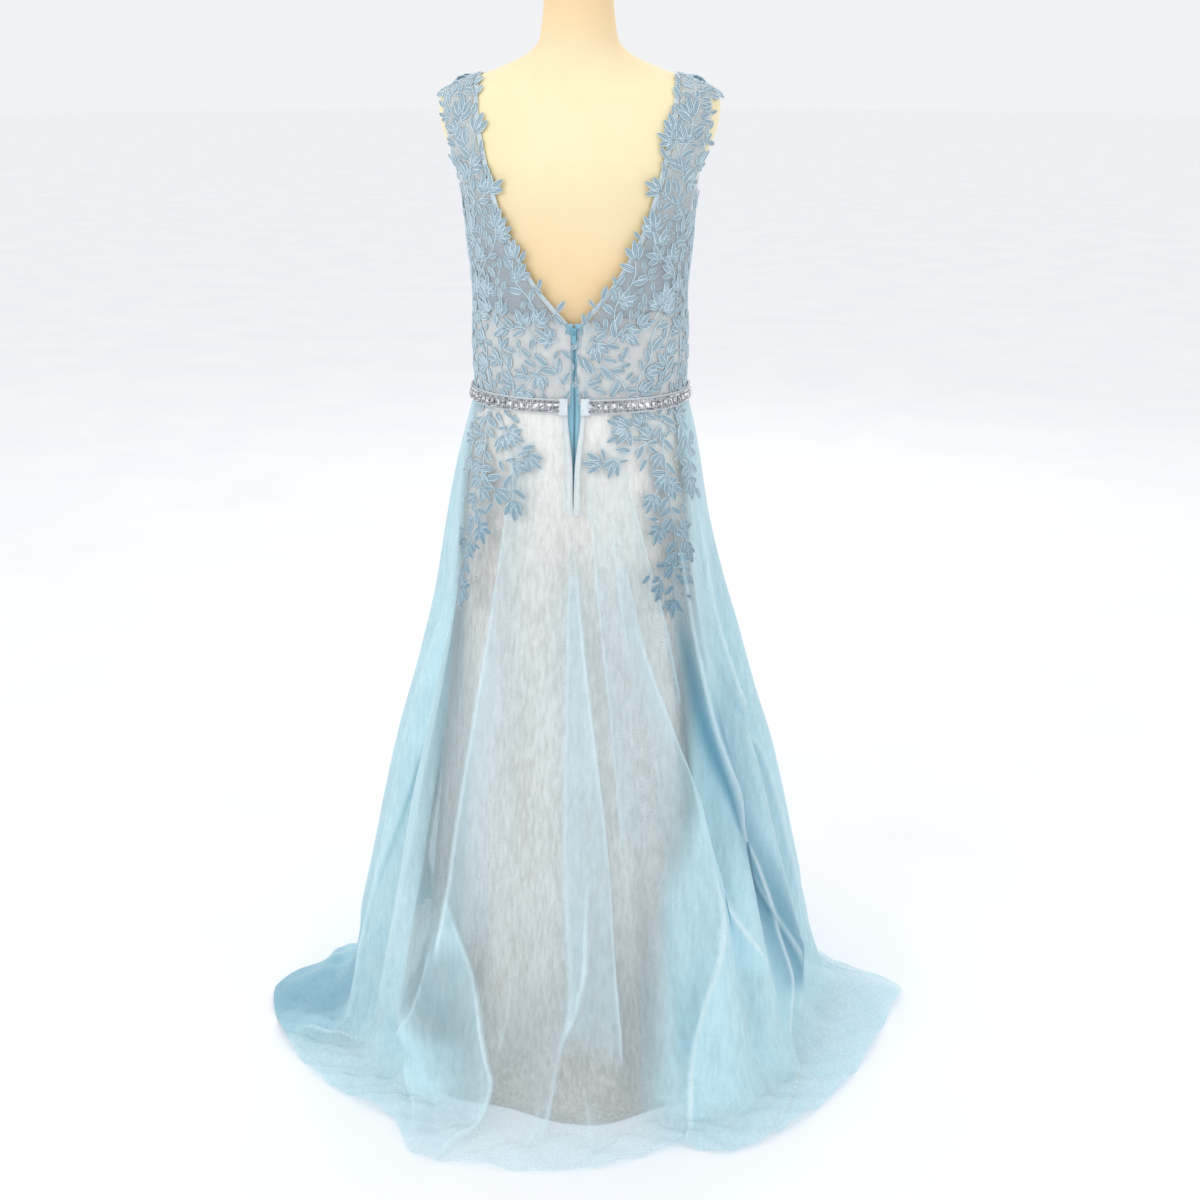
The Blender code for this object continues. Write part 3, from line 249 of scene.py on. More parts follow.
# Folds of the overskirt: angle at the waist, angle at the floor, half width there in degrees,
# height there, and how far down the cloth it starts
FOLDS = (
    (-3.0, -5.0, 4.5, 0.020, 0.16),
    (4.0, 8.0, 4.5, 0.024, 0.16),
    (18.0, 22.0, 5.0, 0.020, 0.02),
    (27.0, 39.0, 8.5, 0.046, 0.04),
    (48.0, 56.0, 6.0, 0.036, 0.10),
    (68.0, 73.0, 7.0, 0.040, 0.20),
    (90.0, 92.0, 8.0, 0.048, 0.10),
    (112.0, 113.0, 8.0, 0.038, 0.15),
    (131.0, 133.0, 7.5, 0.040, 0.10),
    (150.0, 152.0, 7.0, 0.034, 0.05),
    (171.0, 170.0, 7.5, 0.038, 0.12),
    (191.0, 190.0, 7.0, 0.036, 0.08),
    (209.0, 209.0, 7.5, 0.034, 0.14),
    (229.0, 228.0, 8.0, 0.040, 0.10),
    (249.0, 248.0, 7.5, 0.038, 0.16),
    (269.0, 268.0, 9.0, 0.048, -0.12),
    (291.0, 291.0, 7.0, 0.038, 0.20),
    (308.0, 307.0, 6.0, 0.030, 0.12),
    (327.0, 326.0, 8.5, 0.044, 0.06),
    (344.0, 344.0, 4.5, 0.018, 0.05),
)

# Belt, zip and stand
BELT_LOW_Z = 1.0350
BELT_TALL = 0.0200
BELT_WALL = 0.0010
BELT_END_ANGLE = 3.3
BELT_LEAN = 0.0036
BELT_SAG = 0.0008
TAPE_INNER_X = 0.0018
TAPE_OUTER_X = 0.0120
TAPE_WALL = 0.0006
PLACKET_TOP_Z = 1.0310
PLACKET_FOOT_Z = 0.8990


# ---- shapes shared with the solids

# Sections are ellipses down to this level, and reach their full squareness this far below it
ELLIPSE_Z = 1.50
SQUARE_WITHIN = 0.10
# Levels between which the top of the shoulder lies, and how soon the strap bends over it
RIDGE_LEVELS = (1.436, 1.5995)
STRAP_BEND = 1.7
# Of a fold: its width at the waist as a share of that at the floor, how late it turns to its angle
# at the floor, how flat its crest is, and over what distance down the cloth it grows
FOLD_WAIST_SHARE = 0.72
FOLD_SWING = 1.2
FOLD_FLATNESS = 2.4
FOLD_GROWTH = 0.30
# Of the lining's waves: where they start and how far down they grow, and their place round it
LINING_WAVES_FROM = 0.25
LINING_WAVES_OVER = 0.80
LINING_WAVES_TURN = 50


def curve_through(rows, column=1):
    """A smooth line through one column of a table, as a function of the table's first column."""
    x = np.array([row[0] for row in rows], float)
    y = np.array([row[column] for row in rows], float)
    step = np.diff(x)
    rise = np.diff(y) / step
    slope = np.zeros_like(y)
    for i in range(1, len(x) - 1):
        if rise[i - 1] * rise[i] > 0:
            before = 2 * step[i] + step[i - 1]
            after = step[i] + 2 * step[i - 1]
            slope[i] = (before + after) / (before / rise[i - 1] + after / rise[i])
    slope[0], slope[-1] = rise[0], rise[-1]

    def at(value):
        value = np.clip(np.asarray(value, float), x[0], x[-1])
        i = np.clip(np.searchsorted(x, value) - 1, 0, len(x) - 2)
        t = (value - x[i]) / step[i]
        return (
            y[i] * (1 + 2 * t) * (1 - t) ** 2
            + slope[i] * step[i] * t * (1 - t) ** 2
            + y[i + 1] * t * t * (3 - 2 * t)
            + slope[i + 1] * step[i] * t * t * (t - 1)
        )

    return at


form_width = curve_through(FORM_SECTIONS, 1)
form_back = curve_through(FORM_SECTIONS, 2)
form_front = curve_through(FORM_SECTIONS, 3)
ease_at = curve_through(EASE)
zip_opening = curve_through(ZIP_OPENING)
hem_reach = curve_through(HEM_REACH)
neck_lines = {False: curve_through(BACK_NECK), True: curve_through(FRONT_NECK)}
neck_starts = {False: BACK_NECK[0][0], True: FRONT_NECK[0][0]}
armhole_lines = {False: curve_through(BACK_ARMHOLE), True: curve_through(FRONT_ARMHOLE)}
lining_tops = {False: curve_through(BACK_LINING_TOP), True: curve_through(FRONT_LINING_TOP)}


def smooth(value, low=0.0, high=1.0):
    """0 up to low, 1 from high, and a smooth climb between them."""
    t = np.clip((np.asarray(value, float) - low) / (high - low), 0, 1)
    return t * t * (3 - 2 * t)


def squareness(z):
    """How square a section is: an ellipse at the neck, fuller round the ribs."""
    blend = np.clip((ELLIPSE_Z - np.asarray(z, float)) / SQUARE_WITHIN, 0, 1)
    return 2.0 + (TORSO_SQUARENESS - 2.0) * blend


def ring_point(angle, z, width, back, front):
    """A point of a rounded section, with the angle in degrees from the back seam."""
    turn = np.radians(angle)
    power = 2 / squareness(z)
    across, along = np.sin(turn), np.cos(turn)
    depth = np.where(along > 0, back, front)
    x = width * np.sign(across) * np.abs(across) ** power
    y = -depth * np.sign(along) * np.abs(along) ** power
    return np.stack(np.broadcast_arrays(x, y, z), axis=-1)


def wrapped(angle):
    return (np.asarray(angle, float) + 180) % 360 - 180


def paired(first, second):
    """Two parameters of a surface as arrays of one shape."""
    return np.broadcast_arrays(np.asarray(first, float), np.asarray(second, float))


def unit(vectors):
    return vectors / np.maximum(np.linalg.norm(vectors, axis=-1, keepdims=True), 1e-12)


def torso_skin(angle, z):
    """The form's surface."""
    point = ring_point(angle, z, form_width(z), form_back(z), form_front(z))
    rise = BUST_RISE * np.exp(-(((z - BUST_LEVEL) / BUST_HEIGHT) ** 2))
    for side in (-BUST_ANGLE, BUST_ANGLE):
        cup = np.exp(-((wrapped(angle - 180 - side) / BUST_SPREAD) ** 2))
        point[..., 1] += rise * cup
    return point


def normals_of(surface, first, second, step_first, step_second):
    """Normals of a surface given as a function of two parameters."""
    one = surface(first + step_first, second) - surface(first - step_first, second)
    two = surface(first, second + step_second) - surface(first, second - step_second)
    return unit(np.cross(one, two))


def torso_point(angle, z, out):
    """A point that stands off the form's surface, along its normal."""
    angle, z = paired(angle, z)
    normal = normals_of(torso_skin, angle, z, 0.2, 0.0004)
    sway = SWAY * np.exp(-(((z - SWAY_LEVEL) / SWAY_HEIGHT) ** 2)) * np.sin(np.radians(angle))
    return torso_skin(angle, z) + normal * (out - sway)[..., None]


def angle_of_x(x, z):
    """The angle on the back at which the form's surface is this far from the centre."""
    share = np.clip(np.asarray(x, float) / form_width(z), 0, 1)
    return np.degrees(np.arcsin(share ** (squareness(z) / 2)))


def ridge_z(x):
    """The level at which the top of the shoulder is this far from the centre."""
    levels = np.linspace(*RIDGE_LEVELS, 400)
    return np.interp(-np.asarray(x, float), -form_width(levels), levels)


def strap_level(x, s):
    top = ridge_z(x)
    return top - (top - STRAP_Z) * (1 - s) ** STRAP_BEND


def centre_edge(front, z):
    """Distance of a bodice panel's inner edge from the centre line."""
    below = SEAM_GAP if front else zip_opening(z)
    return np.where(z > neck_starts[front], neck_lines[front](z), below)


def quarter_point(angle, z, side, front, out):
    turned = 180 - angle if front else angle
    point = torso_point(turned, z, ease_at(z) + out)
    point[..., 0] *= side
    return point


def bodice_grid(side, front, share, levels, strap_steps, out):
    """Points of one quarter of the bodice, from its foot up and over the strap.

    share runs across it, from the centre or neck edge at 0 to the side seam or armhole at 1.
    """
    neck, arm = neck_lines[front], armhole_lines[front]
    rows = []
    for z in levels:
        start = angle_of_x(centre_edge(front, z), z)
        stop = 90.0 if z <= UNDERARM_Z else angle_of_x(arm(z), z)
        rows.append(quarter_point(start + (stop - start) * share, z, side, front, out))
    for step in strap_steps:
        guess = neck(STRAP_Z) + (arm(STRAP_Z) - neck(STRAP_Z)) * share
        for _ in range(4):
            z = strap_level(guess, step)
            guess = neck(z) + (arm(z) - neck(z)) * share
        top = SHOULDER_INNER_X + (SHOULDER_OUTER_X - SHOULDER_INNER_X) * share
        x = guess + (top - guess) * step**4
        z = strap_level(x, step)
        angle = np.where(step >= 1, 90.0, angle_of_x(x, z))
        rows.append(quarter_point(angle, z, side, front, out))
    return np.array(rows)


def profile_curves(rows):
    """The columns of a skirt's table as smooth lines. The waist's row comes from the bodice."""
    ease = ease_at(WAIST_Z)
    waist = tuple(float(line(WAIST_Z) + ease) for line in (form_width, form_back, form_front))
    table = (rows[0][:2] + waist + rows[0][5:],) + rows[1:]
    return [curve_through(table, column) for column in range(1, len(rows[0]))]


net_curves = profile_curves(NET_PROFILE)
lining_curves = profile_curves(LINING_PROFILE)


def folds_at(angle, down):
    """For each fold: how many half widths off its crest, its half width, its growth and height."""
    share = np.clip(down / FLOOR_AT, 0, 1)
    for top, foot, width, height, start in FOLDS:
        half = width * (FOLD_WAIST_SHARE + (1 - FOLD_WAIST_SHARE) * share)
        away = wrapped(angle - (top + (foot - top) * share**FOLD_SWING)) / half
        yield away, half, smooth(down, start, start + FOLD_GROWTH), height


def fold_rise(angle, down):
    """How far the folds stand out at an angle and a distance down the cloth."""
    rise = np.zeros(np.broadcast(angle, down).shape)
    for away, _, grown, height in folds_at(angle, down):
        rise = rise + height * grown * np.exp(-(np.abs(away) ** FOLD_FLATNESS))
    return rise


def net_surface(angle, down):
    """The overskirt's inner face, at an angle and a distance down the cloth."""
    angle, down = paired(angle, down)
    z, width, back, front, out, lift = (curve(down) for curve in net_curves)
    rise = fold_rise(angle, down)
    point = ring_point(angle, z, width + out * rise, back + out * rise, front + out * rise)
    point[..., 2] = z + lift * rise
    _, *hem, hem_share, _ = (float(curve(NET_LENGTH)) for curve in net_curves)
    edge_rise = hem_share * fold_rise(angle, NET_LENGTH)
    edge = ring_point(angle, 0.0, *(size + edge_rise for size in hem))
    radius = np.hypot(edge[..., 0], edge[..., 1])
    compass = np.degrees(np.arctan2(edge[..., 0], -edge[..., 1]))
    spread = np.clip(down - SPREAD_FROM, 0, 1) / (NET_LENGTH - SPREAD_FROM)
    further = (hem_reach(compass) - radius) * spread
    point[..., :2] += edge[..., :2] * (further / radius)[..., None]
    return point


def lining_surface(angle, down):
    angle, down = paired(angle, down)
    z, width, back, front = (curve(down) for curve in lining_curves)
    share = np.clip((down - LINING_WAVES_FROM) / LINING_WAVES_OVER, 0, 1)
    wave = LINING_FOLD_DEPTH * share * np.sin(np.radians(LINING_FOLDS * angle + LINING_WAVES_TURN))
    return ring_point(angle, z, width + wave, back + wave, front + wave)


def cloth_normals(surface, angle, down):
    """Normals of a skirt's surface, away from the body."""
    return -normals_of(surface, angle, down, 0.15, 0.0005)


def waves(rows, around, along):
    """A sum of uneven waves: height, turns round, turns along and phase, all in radians."""
    return sum(h * np.sin(a * around + b * along + phase) for h, a, b, phase in rows)


# ---- meshes


def grid_faces(rows, columns, first=0, closed=False):
    """Quads between the points of a grid. closed joins its last column to its first."""
    faces = []
    for i in range(rows - 1):
        for j in range(columns if closed else columns - 1):
            a, b = first + i * columns + j, first + i * columns + (j + 1) % columns
            faces.append((a, b, b + columns, a + columns))
    return faces


def tube_faces(first, rings, sides, flip=False):
    """The sides and both ends of a closed tube whose points come ring by ring."""
    last = first + (rings - 1) * sides
    faces = grid_faces(rings, sides, first, closed=True)
    faces += [tuple(range(last, last + sides)), tuple(range(first + sides - 1, first - 1, -1))]
    return [face[::-1] for face in faces] if flip else faces


def round_points(centre, right, up, radius, sides, turn=0.0):
    """The corners of a regular polygon that faces right x up."""
    angles = [turn + 2 * math.pi * k / sides for k in range(sides)]
    return [centre + right * (radius * math.cos(a)) + up * (radius * math.sin(a)) for a in angles]


def add_object(name, data):
    """A new object in the scene, from its mesh, light or camera data."""
    obj = bpy.data.objects.new(name, data)
    bpy.context.scene.collection.objects.link(obj)
    return obj


def add_piece(
    name, verts, faces, material, replaces=(), body="dress", attributes=None, flat=False
):
    """A piece of the model that rides on a body, shaded smooth unless it is flat."""
    mesh = bpy.data.meshes.new(name)
    mesh.from_pydata([tuple(map(float, v)) for v in verts], [], faces)
    mesh.materials.append(material)
    if flat:
        mesh.shade_flat()
    else:
        mesh.shade_smooth()
    for word, values in (attributes or {}).items():
        layer = mesh.attributes.new(word, "FLOAT", "POINT")
        layer.data.foreach_set("value", np.asarray(values, np.float32).ravel())
    mesh.update()
    obj = add_object(name, mesh)
    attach(obj, body)
    if replaces:
        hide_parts(*replaces)
    return obj


def add_grid(name, grid, material, replaces=(), attributes=None, flip=False):
    """A sheet of cloth from a grid of points, as one open surface facing outwards."""
    faces = grid_faces(*grid.shape[:2])
    if flip:
        faces = [face[::-1] for face in faces]
    verts = grid.reshape(-1, 3)
    return add_piece(name, verts, faces, material, replaces, attributes=attributes)


def refinish(material, *names):
    """A better finish on nodes of the model that stay."""
    for name in names:
        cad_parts[name].data.materials.clear()
        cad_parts[name].data.materials.append(material)


# ---- materials


def srgb(*colour):
    """A colour given as it looks on a screen, 0 to 255, as the shader's linear values."""
    return tuple(
        c / 255 / 12.92 if c <= 10 else ((c / 255 + 0.055) / 1.055) ** 2.4 for c in colour
    )


class Look:
    """A material with a Principled shader, and the small graph of textures that feeds it."""

    def __init__(self, name, colour, roughness, **sockets):
        self.material = bpy.data.materials.new(name)
        self.material.use_nodes = True
        self.tree = self.material.node_tree
        self.shader = self.tree.nodes["Principled BSDF"]
        self.shader.inputs["Base Color"].default_value = (*srgb(*colour), 1)
        self.shader.inputs["Roughness"].default_value = roughness
        for socket, value in sockets.items():
            self.shader.inputs[socket.replace("_", " ")].default_value = value
        self.place = self.node("ShaderNodeTexCoord").outputs["Object"]

    def node(self, kind, values=None, **settings):
        made = self.tree.nodes.new(kind)
        for word, value in settings.items():
            setattr(made, word, value)
        for socket, value in (values or {}).items():
            if isinstance(value, bpy.types.NodeSocket):
                self.tree.links.new(value, made.inputs[socket])
            else:
                made.inputs[socket].default_value = value
        return made

    def stretched(self, scale):
        values = {"Vector": self.place, "Scale": scale}
        return self.node("ShaderNodeMapping", values).outputs["Vector"]

    def noise(self, scale, detail=3.0, roughness=0.5):
        values = {
            "Vector": self.stretched(scale), "Scale": 1.0, "Detail": detail, "Roughness": roughness,
        }
        return self.node("ShaderNodeTexNoise", values).outputs["Fac"]

    def cells(self, scale):
        """Distance from the threads of a net."""
        values = {"Vector": self.stretched((scale,) * 3), "Scale": 1.0}
        cells = self.node("ShaderNodeTexVoronoi", values, feature="DISTANCE_TO_EDGE")
        return cells.outputs["Distance"]

    def height(self):
        return self.node("ShaderNodeSeparateXYZ", {"Vector": self.place}).outputs["Z"]

    def attribute(self, name):
        return self.node("ShaderNodeAttribute", attribute_name=name).outputs["Fac"]

    def maths(self, operation, first, second=0.0, clamp=False):
        made = self.node("ShaderNodeMath", {0: first, 1: second}, operation=operation)
        made.use_clamp = clamp
        return made.outputs[0]

    def times(self, first, second, clamp=False):
        return self.maths("MULTIPLY", first, second, clamp)

    def plus(self, first, second, clamp=False):
        return self.maths("ADD", first, second, clamp)

    def ranged(self, value, low, high, to_low=0, to_high=1):
        values = {
            "Value": value, "From Min": low, "From Max": high, "To Min": to_low, "To Max": to_high,
        }
        return self.node("ShaderNodeMapRange", values).outputs["Result"]

    def blend(self, factor, first, second):
        made = self.node("ShaderNodeMix", data_type="RGBA")
        for socket, value in (("Factor", factor), ("A", first), ("B", second)):
            found = next(s for s in made.inputs if s.name == socket and s.enabled)
            if isinstance(value, bpy.types.NodeSocket):
                self.tree.links.new(value, found)
            else:
                found.default_value = (*value, 1) if isinstance(value, tuple) else value
        return next(s for s in made.outputs if s.enabled)

    def mottled(self, value, low, high, first, second):
        """A colour that goes from the first to the second while a value goes from low to high."""
        return self.blend(self.ranged(value, low, high), srgb(*first), srgb(*second))

    def feed(self, socket, value):
        self.tree.links.new(value, self.shader.inputs[socket])

    def bump(self, height, strength, distance):
        values = {"Height": height, "Strength": strength, "Distance": distance}
        self.feed("Normal", self.node("ShaderNodeBump", values).outputs["Normal"])


def make_jersey():
    """Cream jersey, palest across the shoulder blades."""
    look = Look("jersey", (245, 228, 186), 0.85, Sheen_Weight=0.25, Sheen_Roughness=0.5)
    patch = look.ranged(look.noise((9, 9, 6), 4, 0.6), 0.35, 0.68)
    level = look.height()
    ends = look.plus(look.ranged(level, 1.22, 1.37, 0.8, 0), look.ranged(level, 1.46, 1.56, 0, 0.9))
    warmth = look.plus(look.times(patch, 0.3), ends, clamp=True)
    look.feed("Base Color", look.blend(warmth, srgb(249, 236, 194), srgb(243, 213, 165)))
    look.bump(look.noise((900, 900, 420), 2), 0.25, 0.0004)
    return look.material


def make_net():
    """The bodice's net, greyer and darker low on the bodice than up towards the straps."""
    look = Look("bodice_net", (198, 209, 213), 0.7, Sheen_Weight=0.2)
    threads = look.cells(520)
    tone = look.noise((45, 45, 20), 3)
    low = look.mottled(tone, 0.3, 0.7, (172, 184, 192), (156, 172, 184))
    high = look.mottled(tone, 0.3, 0.7, (208, 214, 216), (190, 202, 208))
    look.feed("Base Color", look.blend(look.ranged(look.height(), 1.26, 1.36), low, high))
    cover = look.times(look.attribute("dense"), look.ranged(threads, 0.05, 0.22, 1.25, 0.85))
    patch = look.ranged(look.noise((30, 30, 30), 2), 0.3, 0.7, 0.9, 1.1)
    look.feed("Alpha", look.times(cover, patch, clamp=True))
    look.bump(threads, 0.3, 0.0004)
    return look.material


def make_tulle():
    """Soft net: dense is how much it covers, painted_highlight the painted highlight along its
    doubled edges and where it catches the light, shade the painted shade in its deep valleys.
    """
    look = Look("overskirt_net", (184, 224, 236), 0.65, Sheen_Weight=0.25, Sheen_Roughness=0.4)
    threads = look.cells(480)
    streak = look.noise((130, 130, 16), 4, 0.6)
    cloud = look.noise((9, 9, 4), 3, 0.55)
    fine = look.mottled(streak, 0.3, 0.7, (185, 224, 236), (196, 231, 241))
    base = look.blend(look.ranged(cloud, 0.35, 0.65, 0, 0.5), fine, srgb(192, 229, 238))
    deep = look.blend(look.attribute("shade"), base, srgb(94, 150, 172))
    # Painted highlight: the net turns a paler blue along its lap edges and where it catches the
    # light
    look.feed("Base Color", look.blend(look.attribute("painted_highlight"), deep, srgb(222, 241, 246)))
    weave = look.ranged(threads, 0.03, 0.2, 1.10, 0.92)
    uneven = look.times(look.ranged(streak, 0.25, 0.75, 0.90, 1.10), weave)
    soft = look.times(uneven, look.ranged(cloud, 0.3, 0.7, 0.93, 1.08))
    look.feed("Alpha", look.times(look.attribute("dense"), soft, clamp=True))
    look.bump(threads, 0.25, 0.0004)
    return look.material


def make_satin(name, light, dark, scale=(240, 240, 40), sheen=0.3):
    look = Look(name, light, 0.42, Sheen_Weight=sheen, Specular_IOR_Level=0.4, Anisotropic=0.3)
    slub = look.noise(scale, 4, 0.6)
    look.feed("Base Color", look.mottled(slub, 0.35, 0.7, light, dark))
    look.feed("Roughness", look.ranged(slub, 0.3, 0.7, 0.36, 0.52))
    look.bump(look.noise((1500, 1500, 1500), 2), 0.15, 0.0002)
    return look.material


def make_skirt_lining():
    """Nude satin seen through net: mottled and warm, paler at the belt, darker at the floor."""
    look = Look("skirt_lining_satin", (222, 214, 207), 0.5, Sheen_Weight=0.3)
    fleck = look.noise((170, 170, 30), 5, 0.68)
    cloud = look.noise((14, 14, 4), 3)
    mixed = look.plus(look.times(fleck, 0.72), look.times(cloud, 0.28))
    warm = look.mottled(mixed, 0.40, 0.60, (240, 233, 227), (208, 197, 190))
    cool = look.mottled(mixed, 0.40, 0.60, (250, 246, 241), (232, 227, 221))
    foot = look.mottled(mixed, 0.40, 0.60, (214, 206, 199), (182, 169, 161))
    low = look.blend(look.ranged(look.height(), 0.05, 0.34), foot, warm)
    look.feed("Base Color", look.blend(look.ranged(look.height(), 0.80, 1.03), low, cool))
    look.bump(look.noise((1200, 1200, 300), 2), 0.2, 0.0003)
    return look.material


STITCH_PITCH = 0.0007


def make_lace():
    """Corded embroidery: cord marks what stands up from its ground and takes the lighter colour,
    while the grooves take a painted shade; deep the darker low leaves.
    """
    look = Look("corded_embroidery", (140, 176, 198), 0.55, Sheen_Weight=0.5, Sheen_Roughness=0.35)
    turns = look.times(look.attribute("stitch"), 2 * math.pi / STITCH_PITCH)
    tone = look.noise((60, 60, 60), 2)
    # Painted shade: the grooves and sunken parts of the leaves take this dark blue
    low = look.mottled(tone, 0.3, 0.7, (66, 103, 128), (82, 119, 143))
    high = look.mottled(tone, 0.3, 0.7, (196, 222, 232), (216, 236, 243))
    # Leaves lower down take a darker blue
    raised_darker_low = look.blend(look.attribute("deep"), high, srgb(136, 172, 190))
    look.feed("Base Color", look.blend(look.attribute("cord"), low, raised_darker_low))
    look.bump(look.maths("SINE", turns), 0.35, 0.0003)
    return look.material


def make_metal(name, colour, roughness, scale, metallic=1.0, coat=0.0):
    look = Look(name, colour, roughness, Metallic=metallic, Coat_Weight=coat)
    grain = look.noise(scale, 3)
    look.feed("Roughness", look.ranged(grain, 0.3, 0.7, roughness * 0.8, roughness * 1.3))
    look.bump(grain, 0.12, 0.0002)
    return look.material


def make_tinted(
    name, colour, roughness, scale, limits, first, second, detail=1, relief=None, **sockets
):
    """A surface whose colour drifts between two shades, and may have a fine relief."""
    look = Look(name, colour, roughness, **sockets)
    tint = look.noise(scale, detail)
    look.feed("Base Color", look.mottled(tint, *limits, first, second))
    if relief:
        look.bump(tint, *relief)
    return look.material


FLOOR_GLOW = 0.05

JERSEY = make_jersey()
NET = make_net()
TULLE = make_tulle()
SATIN = make_satin("bodice_lining_satin", (242, 240, 236), (226, 225, 221))
FACING = make_satin("facing_satin", (222, 236, 241), (202, 220, 229))
PLACKET = make_satin("placket_satin", (222, 228, 229), (206, 214, 217))
RIBBON = make_satin("ribbon_satin", (224, 231, 234), (204, 214, 220))
SKIRT_LINING = make_skirt_lining()
LACE = make_lace()
STONE = make_tinted(
    "cut_stone", (222, 226, 230), 0.04, (260, 260, 260), (0.38, 0.62), (250, 252, 255),
    (104, 112, 122), Metallic=0.55, IOR=1.9, Coat_Weight=1.0, Coat_Roughness=0.02,
)
SILVER = make_metal("stone_setting", (182, 184, 186), 0.24, (800, 800, 800))
STEEL = make_metal("brushed_steel", (176, 177, 180), 0.32, (700, 700, 12))
ZIP_PAINT = make_metal("zip_paint", (120, 172, 192), 0.34, (600, 600, 600), 0.0, 0.4)
PEARL = make_tinted(
    "pearl_bead", (226, 232, 234), 0.16, (500, 500, 500), (0.3, 0.7), (235, 238, 238),
    (196, 212, 222), Coat_Weight=0.8, Sheen_Weight=0.2,
)
TAPE = make_tinted(
    "zip_tape_weave", (150, 196, 214), 0.7, (300, 300, 2600), (0.35, 0.65), (128, 180, 202),
    (160, 206, 222), relief=(0.4, 0.0003), Sheen_Weight=0.2,
)
THREAD = make_satin("stitching_thread", (196, 214, 222), (176, 198, 208))
FLOOR = make_tinted(
    "studio_floor", (244, 245, 248), 0.7, (3, 3, 3), (0.3, 0.7), (246, 247, 249),
    (242, 243, 247), detail=2, Emission_Color=(1, 1, 1, 1), Emission_Strength=FLOOR_GLOW,
)


# ---- camera, light and floor

LENS_PIXELS = 1390.0
IMAGE_PIXELS = 1200.0
SENSOR = 36.0
CAMERA_DISTANCE = 2.0
CAMERA_AZIMUTH = 4.5
CAMERA_HEIGHT = 1.5
CAMERA_PITCH = 21.5
CENTRE_COLUMN = 579.0


def make_camera():
    azimuth, pitch = math.radians(CAMERA_AZIMUTH), math.radians(CAMERA_PITCH)
    yaw = math.atan((IMAGE_PIXELS / 2 - CENTRE_COLUMN) / LENS_PIXELS * math.cos(pitch))
    level = Vector((-math.sin(azimuth), math.cos(azimuth), 0))
    level.rotate(Matrix.Rotation(-yaw, 3, "Z"))
    right = Vector((level.y, -level.x, 0))
    ahead = level * math.cos(pitch) - Vector((0, 0, math.sin(pitch)))
    data = bpy.data.cameras.new("camera")
    data.sensor_width = SENSOR
    data.lens = LENS_PIXELS / IMAGE_PIXELS * SENSOR
    axes = Matrix((right, right.cross(ahead), -ahead)).transposed().to_4x4()
    x, y = CAMERA_DISTANCE * math.sin(azimuth), -CAMERA_DISTANCE * math.cos(azimuth)
    camera = add_object("camera", data)
    camera.matrix_world = Matrix.Translation((x, y, CAMERA_HEIGHT)) @ axes
    bpy.context.scene.camera = camera
    bpy.context.scene.view_settings.view_transform = "Standard"


# Soft boxes: name, place, size and power
LIGHTS = (
    ("key", (-2.6, -3.0, 3.0), 2.4, 34.0),
    ("fill", (2.8, -2.4, 2.2), 2.4, 8.0),
    ("top", (0.0, 0.2, 4.2), 2.8, 14.0),
    ("behind", (0.6, 3.2, 2.8), 2.4, 16.0),
)
LIGHTS_AIM = (0, 0, 0.8)
WORLD_LIGHT = 0.93
WORLD_COLOUR = (249, 250, 252)
FLOOR_SIDES = 96
FLOOR_RADIUS = 40.0
FLOOR_Z = -0.0004


def make_lights():
    for name, place, size, power in LIGHTS:
        data = bpy.data.lights.new(name, "AREA")
        data.shape = "DISK"
        data.size = size
        data.energy = power
        lamp = add_object(name, data)
        lamp.location = place
        lamp.rotation_mode = "QUATERNION"
        lamp.rotation_quaternion = (Vector(LIGHTS_AIM) - Vector(place)).to_track_quat("-Z", "Y")
    world = bpy.data.worlds.new("studio")
    world.use_nodes = True
    background = world.node_tree.nodes["Background"]
    background.inputs["Color"].default_value = (*srgb(*WORLD_COLOUR), 1)
    background.inputs["Strength"].default_value = WORLD_LIGHT
    bpy.context.scene.world = world


def make_floor_disc():
    middle, right, up = Vector((0, 0, FLOOR_Z)), Vector((1, 0, 0)), Vector((0, 1, 0))
    mesh = bpy.data.meshes.new("studio_floor")
    verts = round_points(middle, right, up, FLOOR_RADIUS, FLOOR_SIDES)
    mesh.from_pydata(verts, [], [tuple(range(FLOOR_SIDES))])
    mesh.materials.append(FLOOR)
    add_object("studio_floor", mesh)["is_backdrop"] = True


make_camera()
make_lights()
make_floor_disc()


# ---- dress form

FORM_STEPS = 4
FORM_COLUMNS = 112
# The cover's turned-in foot, as shares of its rim, and the neck's cap: share and rise
FORM_FOOT = (0.985, 0.9)
FORM_CAP = ((0.97, 0.0012), (0.85, 0.0024), (0.5, 0.0034), (0.1, 0.0038))


def make_form():
    """The jersey cover: a fine loft through the form's sections, with a domed cap on the neck."""
    levels = [
        low + (high - low) * k / FORM_STEPS
        for (low, *_), (high, *_) in zip(FORM_SECTIONS[:-1], FORM_SECTIONS[1:])
        for k in range(FORM_STEPS)
    ] + [FORM_SECTIONS[-1][0]]
    angles = np.arange(FORM_COLUMNS) * 360 / FORM_COLUMNS
    rows = [torso_skin(angles, np.full(FORM_COLUMNS, z)) for z in levels]
    rim, top = rows[0].copy(), rows[-1].copy()
    for shrink in FORM_FOOT:
        rows.insert(0, rim * (shrink, shrink, 1))
    centre = top[:, :2].mean(axis=0)
    for shrink, rise in FORM_CAP:
        cap = top.copy()
        cap[:, :2] = centre + (top[:, :2] - centre) * shrink
        cap[:, 2] = top[0, 2] + rise
        rows.append(cap)
    faces = tube_faces(0, len(rows), FORM_COLUMNS)
    add_piece("form_cover", np.concatenate(rows), faces, JERSEY, ("form_torso",))
    refinish(STEEL, "form_pole", "form_foot")


make_form()

# ---- bodice

